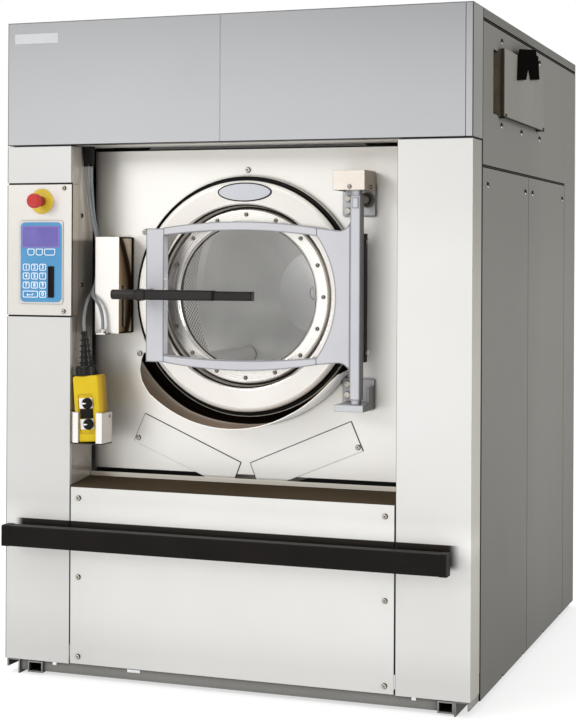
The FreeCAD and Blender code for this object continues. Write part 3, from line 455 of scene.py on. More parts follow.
def side_tone(g, col):
    """Side panels: painted shading, lighter to the rear, darker at top and foot; seams dark."""
    col = g.tone(col, g.xyz()[1], ((F + 0.10, 0.86), (F + 0.62, 0.92), (F + 0.90, 1.0), (F + 1.45, 1.0)))
    z = g.xyz()[2]
    col = g.tone(col, z, ((0.05, 0.76), (0.30, 0.86), (0.70, 0.96), (1.05, 1.0), (1.30, 0.96), (1.50, 0.97), (1.769, 0.97), (1.773, 0.80), (1.80, 0.80)))
    return g.mix(side_seam(g), col, rgb(10, 9, 8))


def chute_inside(g):
    """1 on the inner wall of the chute under the door and on the panel margin it hides."""
    m = g.math("MULTIPLY", g.below(g.rad(), 0.3497, 0.3503), g.step(g.xyz()[1], F + 0.0103, F + 0.0106))
    return g.math("MULTIPLY", m, g.below(g.xyz()[2], 0.884, 0.889))


def chute_outside(g):
    """1 on the outer wall of the chute."""
    m = g.math("MULTIPLY", g.step(g.rad(), 0.3503, 0.3509), g.below(g.xyz()[1], F + 0.1470, F + 0.1490))
    return g.math("MULTIPLY", m, g.below(g.xyz()[2], 0.90, 0.91))


def chute_matte(g):
    return g.math("MAXIMUM", chute_inside(g), chute_outside(g))


def recess_tone(g, col):
    """Chute inside painted with shade, brown near its rim and black where it runs in under the ring, lifted with
    painted light to the right; its outer wall painted near white; the panel painted darker towards its top and in its
    left margin, a dark line under the header.
    """
    x, y = g.xyz()[0], g.xyz()[1]
    # painted shade of the chute inside, brown to black with depth
    depth = g.n("ShaderNodeValToRGB")
    reach = g.rng(x, -0.15, 0.0, 0.121, 0.180)
    g.l(g.math("DIVIDE", g.math("SUBTRACT", y, F + 0.010), reach, clamp=True), depth.inputs["Fac"])
    e = depth.color_ramp.elements
    e[0].position, e[0].color = 0.0, (0.098, 0.070, 0.049, 1)
    e[1].position, e[1].color = 1.0, (0.004, 0.003, 0.002, 1)
    for p, c in ((0.42, (0.115, 0.088, 0.066, 1)), (0.62, (0.17, 0.137, 0.106, 1)), (0.75, (0.33, 0.285, 0.235, 1)), (0.79, (0.29, 0.25, 0.20, 1)), (0.825, (0.006, 0.004, 0.003, 1))):
        n = e.new(p)
        n.color = c
    col = g.tone(col, g.xyz()[2], ((0.52, 1.0), (1.05, 1.0), (1.25, 0.97), (1.38, 0.90), (1.453, 0.86)))
    # painted shade in the panel's left margin
    col = g.tone(col, x, ((-0.462, 0.22), (-0.444, 0.50), (-0.415, 0.80), (-0.37, 0.95), (-0.32, 1.0), (0.462, 1.0)))
    lit = g.tone(depth.outputs["Color"], x, ((-0.36, 1.0), (-0.24, 1.05), (-0.16, 1.35), (-0.11, 1.7), (-0.04, 2.2), (0.20, 2.6)))
    col = g.mix(g.step(g.xyz()[2], 1.4490, 1.4502), col, rgb(18, 16, 13))
    inner = g.mix(g.step(y, F + 0.1470, F + 0.1485), lit, (0.006, 0.004, 0.003, 1))
    # outer wall of the chute painted near white, painted light
    col = g.mix(chute_outside(g), col, (0.93, 0.92, 0.89, 1))
    return g.mix(chute_inside(g), col, inner)


def tray(g):
    """1 on the sloped tray of the sill, 0 on its upstand."""
    return g.below(g.xyz()[1], F + 0.1262, F + 0.1272)


def sill_tone(g, col):
    """Sloped tray dark brown (painted reflection), its upstand at the back painted bright (painted light)."""
    return g.mix(tray(g), rgb(214, 208, 198), col)


def side_head(g):
    """1 on the screw heads of the outer sides."""
    return g.step(g.math("ABSOLUTE", g.xyz()[0]), 0.655, 0.6555)


def screw_tone(g, col):
    """Heads bright on the front with painted shade round their sides; the ones on the outer sides painted dark with a
    painted highlight on their downward faces.
    """
    col = g.mix(g.facing(1, 0.75, 0.95, -1.0), rgb(34, 29, 24), col)
    outer = g.mix(g.facing(2, 0.2, 0.6, -1.0), rgb(40, 36, 32), rgb(224, 222, 218))
    return g.mix(side_head(g), col, outer)


def bolt_tone(g, col):
    """Ring bolts: light heads, painted shade round their sides and in the socket."""
    return g.mix(g.facing(1, 0.75, 0.95, -1.0), rgb(24, 19, 14), col)


def pendant_side(g, col):
    """Right side of the pendant station painted darker than its front (painted side shade), more so towards the back.
    """
    side = g.mix(g.step(g.xyz()[1], F + 0.004, F + 0.040), rgb(206, 170, 16), rgb(146, 110, 6))
    return g.mix(g.facing(0, 0.3, 0.8), col, side)


def holder_tone(g, col):
    """Painted shade on the underside lip of the pendant holder."""
    return g.mix(g.below(g.xyz()[2], 0.6462, 0.6472), col, rgb(52, 45, 38))


def lock_tone(g, col):
    """Polished side of the lock box: painted reflection of the door ring as curved brown and cream bands; painted shade
    along its back, top and bottom edges.
    """
    y, z = g.xyz()[1], g.xyz()[2]
    q = g.math("DIVIDE", g.math("SUBTRACT", z, 1.045), 0.165)
    bandf = g.math("SUBTRACT", F + 0.137, g.math("MULTIPLY", g.math("MULTIPLY", q, q), 0.067))
    wob = g.math("MULTIPLY", g.math("SUBTRACT", g.noise(9.0, detail=2.0), 0.5), 0.012)
    t = g.math("ADD", g.math("SUBTRACT", y, bandf), wob)
    rp = g.n("ShaderNodeValToRGB")
    g.l(g.rng(t, -0.07, 0.05, 0.0, 1.0), rp.inputs["Fac"])
    e = rp.color_ramp.elements
    e[0].position, e[0].color = 0.0, rgb(150, 129, 102)
    e[1].position, e[1].color = 1.0, rgb(196, 182, 160)
    for p, c in ((0.30, (126, 105, 80)), (0.40, (98, 79, 58)), (0.46, (64, 49, 35)), (0.56, (28, 21, 15)), (0.61, (72, 56, 40)), (0.66, (36, 27, 20)), (0.72, (188, 173, 150)), (0.9, (216, 202, 180))):
        n = e.new(p)
        n.color = rgb(*c)
    rim = g.math("MAXIMUM", g.step(y, F + 0.140, F + 0.144), g.math("MAXIMUM", g.step(z, 1.2035, 1.2065), g.math("SUBTRACT", 1.0, g.step(z, 0.945, 0.949))))
    side = g.mix(rim, rp.outputs["Color"], rgb(26, 20, 15))
    return g.mix(g.facing(0), col, side)


def bracket_tone(g, col):
    """Painted shade on the right faces, dark rubber bush in the upper hinge bracket."""
    y, z = g.xyz()[1], g.xyz()[2]
    rad = g.rad(0.341, 1.308)
    col = g.mix(g.facing(0), col, rgb(112, 110, 108))
    m = g.math("MULTIPLY", g.math("SUBTRACT", 1.0, g.step(y, F + 0.1400, F + 0.1408)), g.math("MULTIPLY", g.step(z, 1.285, 1.2855), g.math("SUBTRACT", 1.0, g.step(z, 1.3305, 1.331))))
    disc = g.mix(g.step(rad, 0.0085, 0.010), rgb(120, 110, 98), g.mix(g.step(rad, 0.0165, 0.0175), rgb(44, 36, 29), rgb(86, 76, 66)))
    return g.mix(m, col, disc)


def vent_clip(g):
    """1 on the clip that stands out of the vent cover."""
    return g.step(g.xyz()[0], 0.67855, 0.6787)


def vent_tone(g, col):
    """Black clip on the vent cover; painted shade on the cover's turned edges (dark brown) and in a line along its
    foot.
    """
    x, z = g.xyz()[0], g.xyz()[2]
    col = g.mix(g.step(x, 0.6758, 0.6762), rgb(64, 54, 44), col)
    col = g.mix(g.below(z, 1.5335, 1.5345), col, rgb(30, 26, 22))
    return g.mix(vent_clip(g), col, (0.004, 0.0035, 0.003, 1))


M = {}
# right column: painted side shade on faces looking along X, painted shading by height in right_tone
M["front"] = sheet_metal("satin_stainless", rgb(220, 219, 217), rgb(215, 214, 211), rough=0.38, metal=0.55, bump=0.006, grain_tone=0.04, joint=0.006, extra=right_tone, side_shade_c=rgb(166, 162, 152))
M["left_cover"] = sheet_metal("satin_stainless_left", rgb(213, 212, 210), rgb(208, 207, 204), rough=0.38, metal=0.55, bump=0.006, grain_tone=0.04, joint=0.006, seed=(1, 6, 2), extra=left_tone)
M["lower"] = sheet_metal("satin_stainless_lower", rgb(228, 227, 224), rgb(223, 222, 219), rough=0.40, metal=0.5, bump=0.006, grain_tone=0.04, joint=0.006, seed=(4, 2, 1), extra=lower_tone)
M["plate"] = sheet_metal("satin_stainless_plate", rgb(211, 208, 203), rgb(204, 200, 194), rough=0.36, metal=0.6, grain=(1200, 1200, 10), bump=0.01, seed=(7, 1, 5), smudge=4.0, joint=0.008, extra=plate_tone, matte=plate_side)
M["panel"] = sheet_metal("recess_stainless", rgb(238, 236, 232), rgb(231, 228, 223), rough=0.42, metal=0.75, grain=(9, 1200, 1200), seed=(2, 9, 4), extra=recess_tone, joint=0.012, matte=chute_matte)
M["liner"] = sheet_metal("liner_stainless", rgb(216, 208, 196), rgb(200, 190, 177), rough=0.22, metal=0.45, grain=(1200, 1200, 9), seed=(1, 4, 8), joint=0.006, grain_tone=0.25, extra=liner_tone)
# sill: dark brown base colours are a painted reflection
M["sill"] = sheet_metal("sill_stainless", rgb(78, 68, 55), rgb(68, 58, 46), rough=0.34, grain=(12, 800, 800), seed=(3, 3, 3), extra=sill_tone, joint=0.0, matte=tray)
M["cover"] = sheet_metal("cover_plate_stainless", rgb(236, 234, 230), rgb(228, 226, 221), rough=0.40, metal=0.75, grain=(12, 1200, 1200), seed=(8, 2, 6), joint=0.0)
M["header"] = paint("header_silver_paint", rgb(174, 175, 177), rgb(170, 171, 173), rough=0.40, peel=0.004, metal=0.3, cloud=1.1, grime=0.0, joint=0.005, spec=0.3, extra=header_tone)
M["side"] = paint("side_grey_paint", rgb(132, 131, 126), rgb(127, 126, 121), rough=0.42, peel=0.008, metal=0.2, cloud=1.0, grime=0.02, spec=0.3, joint=0.01, extra=side_tone, matte=side_seam)
M["vent"] = paint("vent_grey_paint", rgb(142, 140, 134), rgb(132, 130, 124), rough=0.36, peel=0.01, metal=0.4, cloud=3.0, extra=vent_tone, joint=0.012, matte=vent_clip)
M["frame"] = paint("frame_grey_paint", rgb(140, 139, 135), rgb(128, 127, 123), rough=0.5, peel=0.05, edge_c=rgb(186, 185, 181), spec=0.3, joint=0.06)
M["inner_frame"] = paint("inner_frame_paint", rgb(58, 57, 56), rgb(48, 47, 47), rough=0.55, peel=0.08, spec=0.25)
# yoke: painted dark outline along its rims
M["yoke"] = paint("yoke_grey_paint", rgb(195, 195, 199), rgb(189, 189, 194), rough=0.38, peel=0.015, cloud=6.0, rim_c=rgb(104, 103, 106), bev=0.0016, joint=0.008, spec=0.35, grime=0.03)
# brackets: painted dark outlines along their edges
M["bracket"] = paint("bracket_cast_paint", rgb(194, 195, 197), rgb(184, 185, 188), rough=0.36, peel=0.06, metal=0.3, edge_c=rgb(96, 95, 96), edge_r=0.0045, joint=0.008, extra=bracket_tone)
# hinge cap: painted dark outlines along its edges, painted side shade on faces looking along X
M["hinge_cap"] = sheet_metal("hinge_cap_stainless", rgb(240, 232, 223), rgb(226, 216, 205), rough=0.24, metal=0.8, grain=(10, 900, 900), edge_c=rgb(92, 80, 66), side_shade_c=rgb(150, 136, 120), smudge=12.0, edge_r=0.0035, joint=0.006, grain_tone=0.2)
# ring: painted shade on the rolled edge, painted highlight band inside it, painted light on the inner lip with a
# painted shade line just outside it
M["ring"] = polished("polished_ring", rgb(238, 234, 229), rgb(231, 226, 220), rough=0.18, edge_shade_r=(0.3132, 0.3140), edge_shade_c=(0.010, 0.007, 0.005, 1), joint=0.004, metal=0.8, lines=((0.3030, 0.3136, (0.97, 0.94, 0.89, 1)), (0.2420, 0.2450, (0.62, 0.58, 0.52, 1)), (0.2456, 0.2490, (0.030, 0.022, 0.015, 1))))
# annulus: painted shade line at its inner edge, painted shade towards the left
M["annulus"] = polished("polished_annulus", rgb(250, 247, 242), rgb(244, 240, 234), rough=0.26, joint=0.004, metal=0.7, lines=((0.1940, 0.1982, (0.05, 0.04, 0.03, 1)),), tone_x=((-0.24, 0.50), (-0.20, 0.58), (-0.14, 0.80), (-0.05, 1.0), (0.10, 1.0), (0.24, 1.06)))
M["lock"] = sheet_metal("lock_box_stainless", rgb(240, 237, 232), rgb(234, 230, 224), rough=0.30, metal=0.7, grain=(1200, 1200, 12), bump=0.006, extra=lock_tone, joint=0.0, matte=lambda g: g.facing(0))
M["screw"] = sheet_metal("screw_steel", rgb(206, 200, 190), rgb(170, 162, 150), rough=0.22, grain=(300, 300, 300), bump=0.05, smudge=60.0, bev=0.0006, joint=0.004, extra=screw_tone, matte=side_head)
M["bolt_light"] = sheet_metal("bolt_light_steel", rgb(214, 212, 208), rgb(190, 187, 182), rough=0.26, grain=(300, 300, 300), bump=0.05, smudge=60.0, bev=0.0006, joint=0.004)
M["bolt_dark"] = sheet_metal("bolt_dark_steel", rgb(112, 103, 90), rgb(72, 64, 54), rough=0.28, grain=(300, 300, 300), bump=0.05, smudge=60.0, bev=0.0006, joint=0.004)
M["bolt_ring"] = sheet_metal("ring_bolt_steel", rgb(176, 168, 156), rgb(150, 141, 128), rough=0.28, grain=(300, 300, 300), bump=0.05, smudge=60.0, bev=0.0006, joint=0.004, metal=0.5, extra=bolt_tone, matte=lambda g: g.facing(0, 0.2, 0.5))
M["inlet"] = sheet_metal("inlet_zinc", rgb(150, 149, 145), rgb(132, 131, 127), rough=0.42, metal=0.8, grain=(200, 200, 200), bump=0.04, smudge=40.0, joint=0.006)
M["zinc"] = sheet_metal("zinc_plate", rgb(236, 236, 236), rgb(220, 221, 222), rough=0.3, grain=(200, 200, 200), bump=0.04, smudge=40.0, joint=0.0)
# handle: painted black outline along its rims
M["handle"] = plastic("handle_black", rgb(42, 39, 37), rgb(35, 32, 30), rough=0.34, grain=1200.0, bump=0.03, rim_c=rgb(6, 5, 5), spec=0.2, bev=0.0014, scuff=0.05)
# bumper: painted highlight along its edges
M["bumper"] = plastic("bumper_black", rgb(22, 18, 15), rgb(17, 14, 12), rough=0.5, grain=700.0, bump=0.03, edge_c=rgb(52, 49, 46), spec=0.10, bev=0.0012, scuff=0.06)
M["black"] = plastic("black_plastic", rgb(17, 15, 14), rgb(11, 10, 9), rough=0.42, grain=900.0, bump=0.06, spec=0.14, scuff=0.05)
M["rubber"] = rubber("black_rubber", rgb(15, 13, 11), rgb(9, 8, 7), rough=0.34, spec=0.3)
M["belt"] = rubber("belt_rubber", rgb(44, 42, 40), rgb(30, 29, 28), rough=0.7)
M["gasket"] = rubber("gasket_rubber", rgb(34, 31, 28), rgb(24, 22, 20), rough=0.5)
M["cord"] = rubber("cord_grey", rgb(132, 136, 138), rgb(114, 118, 120), rough=0.45, bump=0.06)
M["bezel"] = plastic("bezel_white", rgb(206, 204, 199), rgb(198, 196, 191), rough=0.4, grain=1500.0, bump=0.03, scuff=0.05)
M["membrane"] = plastic("membrane_blue", rgb(72, 142, 188), rgb(66, 134, 181), rough=0.38, grain=2600.0, bump=0.05, scuff=0.02)
M["keypad"] = plastic("key_blue", rgb(66, 138, 188), rgb(60, 130, 181), rough=0.36, grain=2600.0, bump=0.05, scuff=0.02)
M["ink"] = plastic("white_ink", rgb(244, 247, 250), rgb(236, 241, 246), rough=0.5, grain=2600.0, bump=0.03, scuff=0.02)
M["slot"] = plastic("slot_black", rgb(17, 17, 21), rgb(11, 11, 14), rough=0.4, grain=1800.0, bump=0.05, spec=0.14)
# pendant: painted highlight along its edges, painted side shade in pendant_side
M["yellow"] = plastic("yellow_plastic", rgb(212, 182, 26), rgb(204, 173, 20), rough=0.36, grain=700.0, bump=0.05, edge_c=rgb(236, 212, 86), bev=0.002, scuff=0.05, extra=pendant_side, spec=0.2)
# painted highlight along the edges
M["red"] = plastic("red_plastic", rgb(184, 50, 44), rgb(172, 40, 35), rough=0.34, grain=1200.0, bump=0.04, edge_c=rgb(208, 100, 90), spec=0.3)
M["white"] = plastic("white_plastic", rgb(240, 240, 240), rgb(230, 230, 229), rough=0.4, grain=1200.0, bump=0.03)
# holder: painted dark outlines along its edges, painted side shade on faces looking along X
M["holder"] = sheet_metal("holder_stainless", rgb(240, 238, 235), rgb(230, 227, 222), rough=0.3, metal=0.6, grain=(900, 900, 8), edge_c=rgb(58, 50, 43), edge_r=0.0045, joint=0.004, side_shade_c=rgb(206, 200, 193), extra=holder_tone)
M["tub"] = sheet_metal("tub_stainless", rgb(190, 188, 184), rgb(170, 168, 163), rough=0.4, grain=(6, 500, 500), bump=0.05)
M["cast"] = paint("cast_iron_grey", rgb(98, 100, 102), rgb(82, 84, 87), rough=0.6, peel=0.4, cloud=12.0)
M["motor"] = paint("motor_paint", rgb(104, 112, 120), rgb(88, 96, 104), rough=0.45, peel=0.1)
M["enclosure"] = paint("enclosure_paint", rgb(178, 178, 173), rgb(168, 168, 163), rough=0.4, peel=0.08)
M["badge"] = sheet_metal("plain_badge", rgb(190, 192, 196), rgb(176, 178, 183), rough=0.3, grain=(12, 900, 900), bump=0.02, joint=0.0)
M["label"] = plastic("plain_label", rgb(196, 197, 198), rgb(190, 191, 193), rough=0.5, grain=2000.0, bump=0.02, scuff=0.02)
M["seal"] = rubber("seal_black", rgb(30, 27, 23), rgb(20, 18, 15), rough=0.6)
M["lip"] = sheet_metal("lip_stainless", rgb(226, 222, 214), rgb(212, 207, 198), rough=0.3, metal=0.3, grain=(300, 300, 300), joint=0.0)
# vent baffle: its brown is painted shade
M["brown"] = sheet_metal("vent_duct_metal", rgb(104, 97, 82), rgb(84, 77, 63), rough=0.4, metal=0.1, grain=(400, 400, 8), smudge=20.0, joint=0.0)

# display: violet pane with a lighter border line and a soft cloud behind it
g = Mat("display_violet")
dx = g.math("ABSOLUTE", g.math("SUBTRACT", g.xyz()[0], -0.554))
dz = g.math("ABSOLUTE", g.math("SUBTRACT", g.xyz()[2], 1.2085))
rim = g.math("MAXIMUM", g.step(dx, 0.0545, 0.0555), g.step(dz, 0.027, 0.028))
haze = g.noise(24.0, detail=4.0, rough=0.6)
pix = g.n("ShaderNodeTexChecker")
pix.inputs["Scale"].default_value = 900.0
g.l(g.obj(), pix.inputs["Vector"])
base = g.mix(g.rng(haze, 0.3, 0.7, 0.0, 1.0), rgb(94, 84, 160), rgb(104, 94, 170))
base = g.mix(g.math("MULTIPLY", pix.outputs["Fac"], 0.06), base, rgb(76, 66, 140))
base = g.mix(g.math("MULTIPLY", rim, 0.8), base, rgb(146, 116, 184))
g.set(Base_Color=base, Roughness=g.rng(haze, 0.2, 0.8, 0.18, 0.28), Coat_Weight=0.3, Coat_Roughness=0.08)
M["display"] = g.m

# emergency stop backing: yellow disc, dark neck standing out of it
g = Mat("e_stop_disc")
neck = g.step(g.xyz()[1], F - 0.0042, F - 0.0034)
fine = g.noise(1200.0, detail=2.0)
cl = g.noise(30.0, detail=3.0)
yel = g.mix(g.rng(cl, 0.3, 0.7, 0, 1), rgb(214, 186, 42), rgb(200, 172, 34))
g.set(Base_Color=g.mix(neck, rgb(128, 28, 24), yel), Roughness=g.rng(fine, 0.2, 0.8, 0.36, 0.48), Normal=g.bump(fine, 0.06, 0.0003, g.bevel(0.0008)))
M["estop_base"] = g.m

# hinge bar: painted like the yoke, with a painted dark outline along its rims, painted side shade on its faces looking
# along X, and a dark strip behind its back edge
g = Mat("hinge_bar_paint")
web = g.math("MAXIMUM", g.step(g.xyz()[1], F + 0.0822, F + 0.0826), g.step(g.xyz()[0], 0.3504, 0.3508))
peel_n = g.noise(420.0, detail=2.0)
big = g.noise(6.0, detail=3.0)
col = g.mix(g.rng(big, 0.3, 0.7, 0, 1), rgb(196, 197, 201), rgb(188, 189, 195))
# painted dark outline along the rims
col = g.mix(g.math("MULTIPLY", g.rim(), 0.75), col, rgb(112, 111, 114))
# painted side shade on faces looking along X
col = g.mix(g.facing(0), col, rgb(112, 111, 113))
g.set(Base_Color=g.mix(web, col, rgb(26, 21, 16)), Specular_IOR_Level=0.25, Roughness=g.math("ADD", g.rng(peel_n, 0.2, 0.8, 0.32, 0.42), g.math("MULTIPLY", web, 0.3)), Normal=g.bump(peel_n, 0.05, 0.0004, g.bevel(0.0016)))
M["hinge_bar"] = g.m

# drum wall: rows of staggered drain holes, dark, round the barrel
g = Mat("drum_perforated")
x, y, z = g.xyz()[0], g.xyz()[1], g.xyz()[2]
PITCH = 0.0125
ang = g.math("ARCTAN2", g.math("SUBTRACT", z, 1.049), x)
u = g.math("MULTIPLY", ang, 0.4615 / PITCH)
v = g.math("MULTIPLY", y, 1.0 / (PITCH * 0.866))
row = g.math("FLOOR", v)
shift = g.math("MULTIPLY", g.math("FLOORED_MODULO", row, 2.0), 0.5)
du = g.math("SUBTRACT", g.math("FRACT", g.math("ADD", u, shift)), 0.5)
dv = g.math("MULTIPLY", g.math("SUBTRACT", g.math("FRACT", v), 0.5), 0.866)
dist = g.math("SQRT", g.math("ADD", g.math("MULTIPLY", du, du), g.math("MULTIPLY", dv, dv)))
hole = g.math("SUBTRACT", 1.0, g.step(dist, 0.27, 0.33))
lip = g.math("SUBTRACT", 1.0, g.step(g.math("ABSOLUTE", g.math("SUBTRACT", dist, 0.36)), 0.0, 0.07))
cl = g.noise(5.0, detail=4.0)
steel = g.mix(g.rng(cl, 0.3, 0.7, 0, 1), rgb(222, 221, 218), rgb(208, 207, 204))
steel = g.mix(g.math("MULTIPLY", lip, 0.7), steel, rgb(250, 249, 247))
g.set(Base_Color=g.mix(hole, steel, rgb(62, 60, 57)), Roughness=g.mixf(hole, 0.34, 0.7), Metallic=g.mixf(hole, 0.35, 0.0), Normal=g.bump(g.math("SUBTRACT", 1.0, hole), 0.35, 0.001))
M["drum_wall"] = g.m

# drum ends: spun stainless, turning marks round the axis; the front wall painted dark (painted shade), painted light
# and shade by height and across X
g = Mat("drum_spun")
x, y, z = g.xyz()[0], g.xyz()[1], g.xyz()[2]
dz = g.math("SUBTRACT", z, 1.049)
rad = g.math("SQRT", g.math("ADD", g.math("MULTIPLY", x, x), g.math("MULTIPLY", dz, dz)))
c = g.n("ShaderNodeCombineXYZ")
g.l(g.math("MULTIPLY", rad, 500.0), c.inputs[0])
g.l(g.math("MULTIPLY", g.math("ARCTAN2", dz, x), 1.5), c.inputs[1])
t = g.n("ShaderNodeTexNoise")
g.l(c.outputs[0], t.inputs["Vector"])
t.inputs["Scale"].default_value = 1.0
t.inputs["Detail"].default_value = 2.0
cl = g.noise(3.5, detail=4.0)
tan = g.n("ShaderNodeTangent", direction_type="RADIAL", axis="Y")
col = g.mix(g.rng(cl, 0.3, 0.7, 0, 1), rgb(196, 196, 193), rgb(187, 187, 184))
col = g.mix(g.step(rad, 0.1295, 0.131), rgb(206, 206, 203), col)
# painted shade on the drum's front wall
col = g.mix(g.below(y, F + 0.2490, F + 0.2510), col, rgb(58, 55, 51))
# painted light and shade by height and across X
col = g.tone(col, z, ((0.70, 1.19), (0.867, 1.20), (0.885, 1.09), (0.91, 0.93), (0.96, 0.80), (1.02, 0.86), (1.12, 1.06), (1.25, 1.18), (1.40, 1.2)))
col = g.tone(col, x, ((-0.45, 1.38), (-0.378, 1.36), (-0.344, 1.25), (-0.28, 1.16), (-0.16, 1.0), (0.0, 1.03), (0.4, 1.03)))
g.set(Base_Color=col, Roughness=g.rng(t.outputs["Fac"], 0.2, 0.8, 0.34, 0.46), Metallic=0.45, Anisotropic=0.7, Tangent=tan.outputs[0], Normal=g.bump(t.outputs["Fac"], 0.03, 0.0003))
M["drum_end"] = g.m
M["lifter"] = sheet_metal("lifter_stainless", rgb(214, 213, 210), rgb(198, 197, 194), rough=0.3, grain=(500, 8, 500), bump=0.03, metal=0.7)

# door glass: clear pane that mirrors at grazing angles, faint smears
g = Mat("door_glass_clear")
smear = g.noise(18.0, detail=5.0, rough=0.6, distort=0.6)
tr = g.n("ShaderNodeBsdfTransparent")
tr.inputs["Color"].default_value = (0.905, 0.903, 0.908, 1)
g.set(Base_Color=(0.56, 0.56, 0.55, 1), Roughness=g.rng(smear, 0.3, 0.8, 0.02, 0.07), Specular_IOR_Level=0.5, IOR=1.5)
fr = g.n("ShaderNodeFresnel")
fr.inputs["IOR"].default_value = 1.5
fac = g.math("ADD", g.math("MINIMUM", g.math("MULTIPLY", fr.outputs[0], 0.6), 0.10), g.rng(smear, 0.3, 0.8, 0.0, 0.02), clamp=True)
mx = g.n("ShaderNodeMixShader")
g.l(fac, mx.inputs[0])
g.l(tr.outputs[0], mx.inputs[1])
g.l(g.b.outputs[0], mx.inputs[2])
g.l(mx.outputs[0], g.out.inputs[0])
M["glass"] = g.m


def give(node, mat):
    o = N[node]
    o.data.materials.clear()
    o.data.materials.append(M[mat])


for node, mat in {
    "base_frame": "frame", "upper_frame": "inner_frame", "left_column_covers": "left_cover", "right_column_cover": "front", "control_plate": "plate",
    "header_fascias": "header", "top_covers": "side", "side_panels": "side", "rear_panels": "side", "recess_liners": "liner", "drip_sill": "sill",
    "lower_front_panel": "lower", "panel_screws": "screw", "bumper_bar": "bumper", "vent_cover": "vent", "keypad_bezel": "bezel", "keypad_membrane": "membrane",
    "display_window": "display", "e_stop_base": "estop_base", "pendant_housing": "yellow", "pendant_boot": "rubber", "pendant_holder": "holder",
    "cable_glands": "black", "pendant_cord": "cord", "lock_cord": "cord", "control_box": "enclosure", "water_inlets": "inlet", "drain_pipe": "tub",
    "drain_bellows": "rubber", "air_springs": "rubber", "inner_front_panel": "panel", "access_covers": "cover", "unit_screws": "screw", "outer_tub": "tub",
    "tub_front_ring": "ring", "door_gasket": "gasket", "bearing_housing": "cast", "cradle": "inner_frame", "motor_body": "motor", "lock_box": "lock",
    "hinge_brackets": "bracket", "hinge_cover": "hinge_cap", "drive_belt": "belt", "drum_shell": "drum_wall", "drum_front_wall": "drum_end",
    "drum_rear_wall": "drum_end", "drum_lifters": "lifter", "drum_shaft": "screw", "drum_pulley": "cast", "motor_rotor": "screw", "door_yoke": "yoke",
    "hinge_bar": "hinge_bar", "door_ring": "annulus", "door_glass": "glass", "door_bolts": "bolt_ring", "door_handle": "handle", "e_stop_stem": "black",
    "e_stop_head": "red", "pendant_button_up": "black", "pendant_button_down": "black",
}.items():
    give(node, mat)


# ------------------------------------------------------------------ mesh pieces
def add(name, bm, body, mat, angle=35.0):
    bmesh.ops.recalc_face_normals(bm, faces=bm.faces)
    me = bpy.data.meshes.new(name)
    bm.to_mesh(me)
    bm.free()
    me.polygons.foreach_set("use_smooth", [True] * len(me.polygons))
    me.set_sharp_from_angle(angle=math.radians(angle))
    ob = bpy.data.objects.new(name, me)
    bpy.context.scene.collection.objects.link(ob)
    me.materials.append(M[mat])
    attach(ob, body)
    return ob


def rounded(x0, x1, z0, z1, r, seg=5, corners=(1, 1, 1, 1)):
    """Closed outline of a rectangle in X and Z, corners (low-left, low-right, top-right, top-left) rounded."""
    out = []
    for (cx, cz, a0), on in zip(((x0 + r, z0 + r, 180), (x1 - r, z0 + r, 270), (x1 - r, z1 - r, 0), (x0 + r, z1 - r, 90)), corners):
        rr = r if on else r * 0.25
        ccx = x0 + rr if cx < (x0 + x1) / 2 else x1 - rr
        ccz = z0 + rr if cz < (z0 + z1) / 2 else z1 - rr
        for i in range(seg + 1):
            a = math.radians(a0 + 90.0 * i / seg)
            out.append((ccx + rr * math.cos(a), ccz + rr * math.sin(a)))
    return out


def shrink(loop, d):
    """Outline moved inward by d along its corner normals."""
    n = len(loop)
    area = sum(loop[i][0] * loop[(i + 1) % n][1] - loop[(i + 1) % n][0] * loop[i][1] for i in range(n))
    sgn = 1.0 if area > 0 else -1.0
    out = []
    for i in range(n):
        ax, az = loop[i - 1]
        bx, bz = loop[i]
        cx, cz = loop[(i + 1) % n]
        e1, e2 = Vector((bx - ax, bz - az)), Vector((cx - bx, cz - bz))
        if e1.length < 1e-9:
            e1 = e2
        if e2.length < 1e-9:
            e2 = e1
        e1.normalize()
        e2.normalize()
        n1, n2 = Vector((-e1.y, e1.x)) * sgn, Vector((-e2.y, e2.x)) * sgn
        m = n1 + n2
        m = m / max(0.4, m.dot(n1)) if m.length > 1e-6 else n1
        out.append((bx + m.x * d, bz + m.y * d))
    return out


def plate(bm, loop, f_front, f_back, edge=0.3):
    """Flat plate facing the front, outline in X and Z, with a small bevel round its front face."""
    rings = [[bm.verts.new(mm(x, f_back, z)) for x, z in loop], [bm.verts.new(mm(x, f_front + edge, z)) for x, z in loop],
             [bm.verts.new(mm(x, f_front, z)) for x, z in shrink(loop, edge)]]
    n = len(loop)
    for a, b in zip(rings, rings[1:]):
        for i in range(n):
            bm.faces.new((a[i], a[(i + 1) % n], b[(i + 1) % n], b[i]))
    bm.faces.new(rings[-1])
    bm.faces.new(rings[0][::-1])


def band(bm, outer, inner, f_front, f_back):
    """Flat ring between two outlines of the same point count."""
    n = len(outer)
    v = {}
    for k, loop, f in (("of", outer, f_front), ("ob", outer, f_back), ("if", inner, f_front), ("ib", inner, f_back)):
        v[k] = [bm.verts.new(mm(x, f, z)) for x, z in loop]
    for i in range(n):
        j = (i + 1) % n
        for a, b in (("of", "if"), ("if", "ib"), ("ib", "ob"), ("ob", "of")):
            bm.faces.new((v[a][i], v[a][j], v[b][j], v[b][i]))


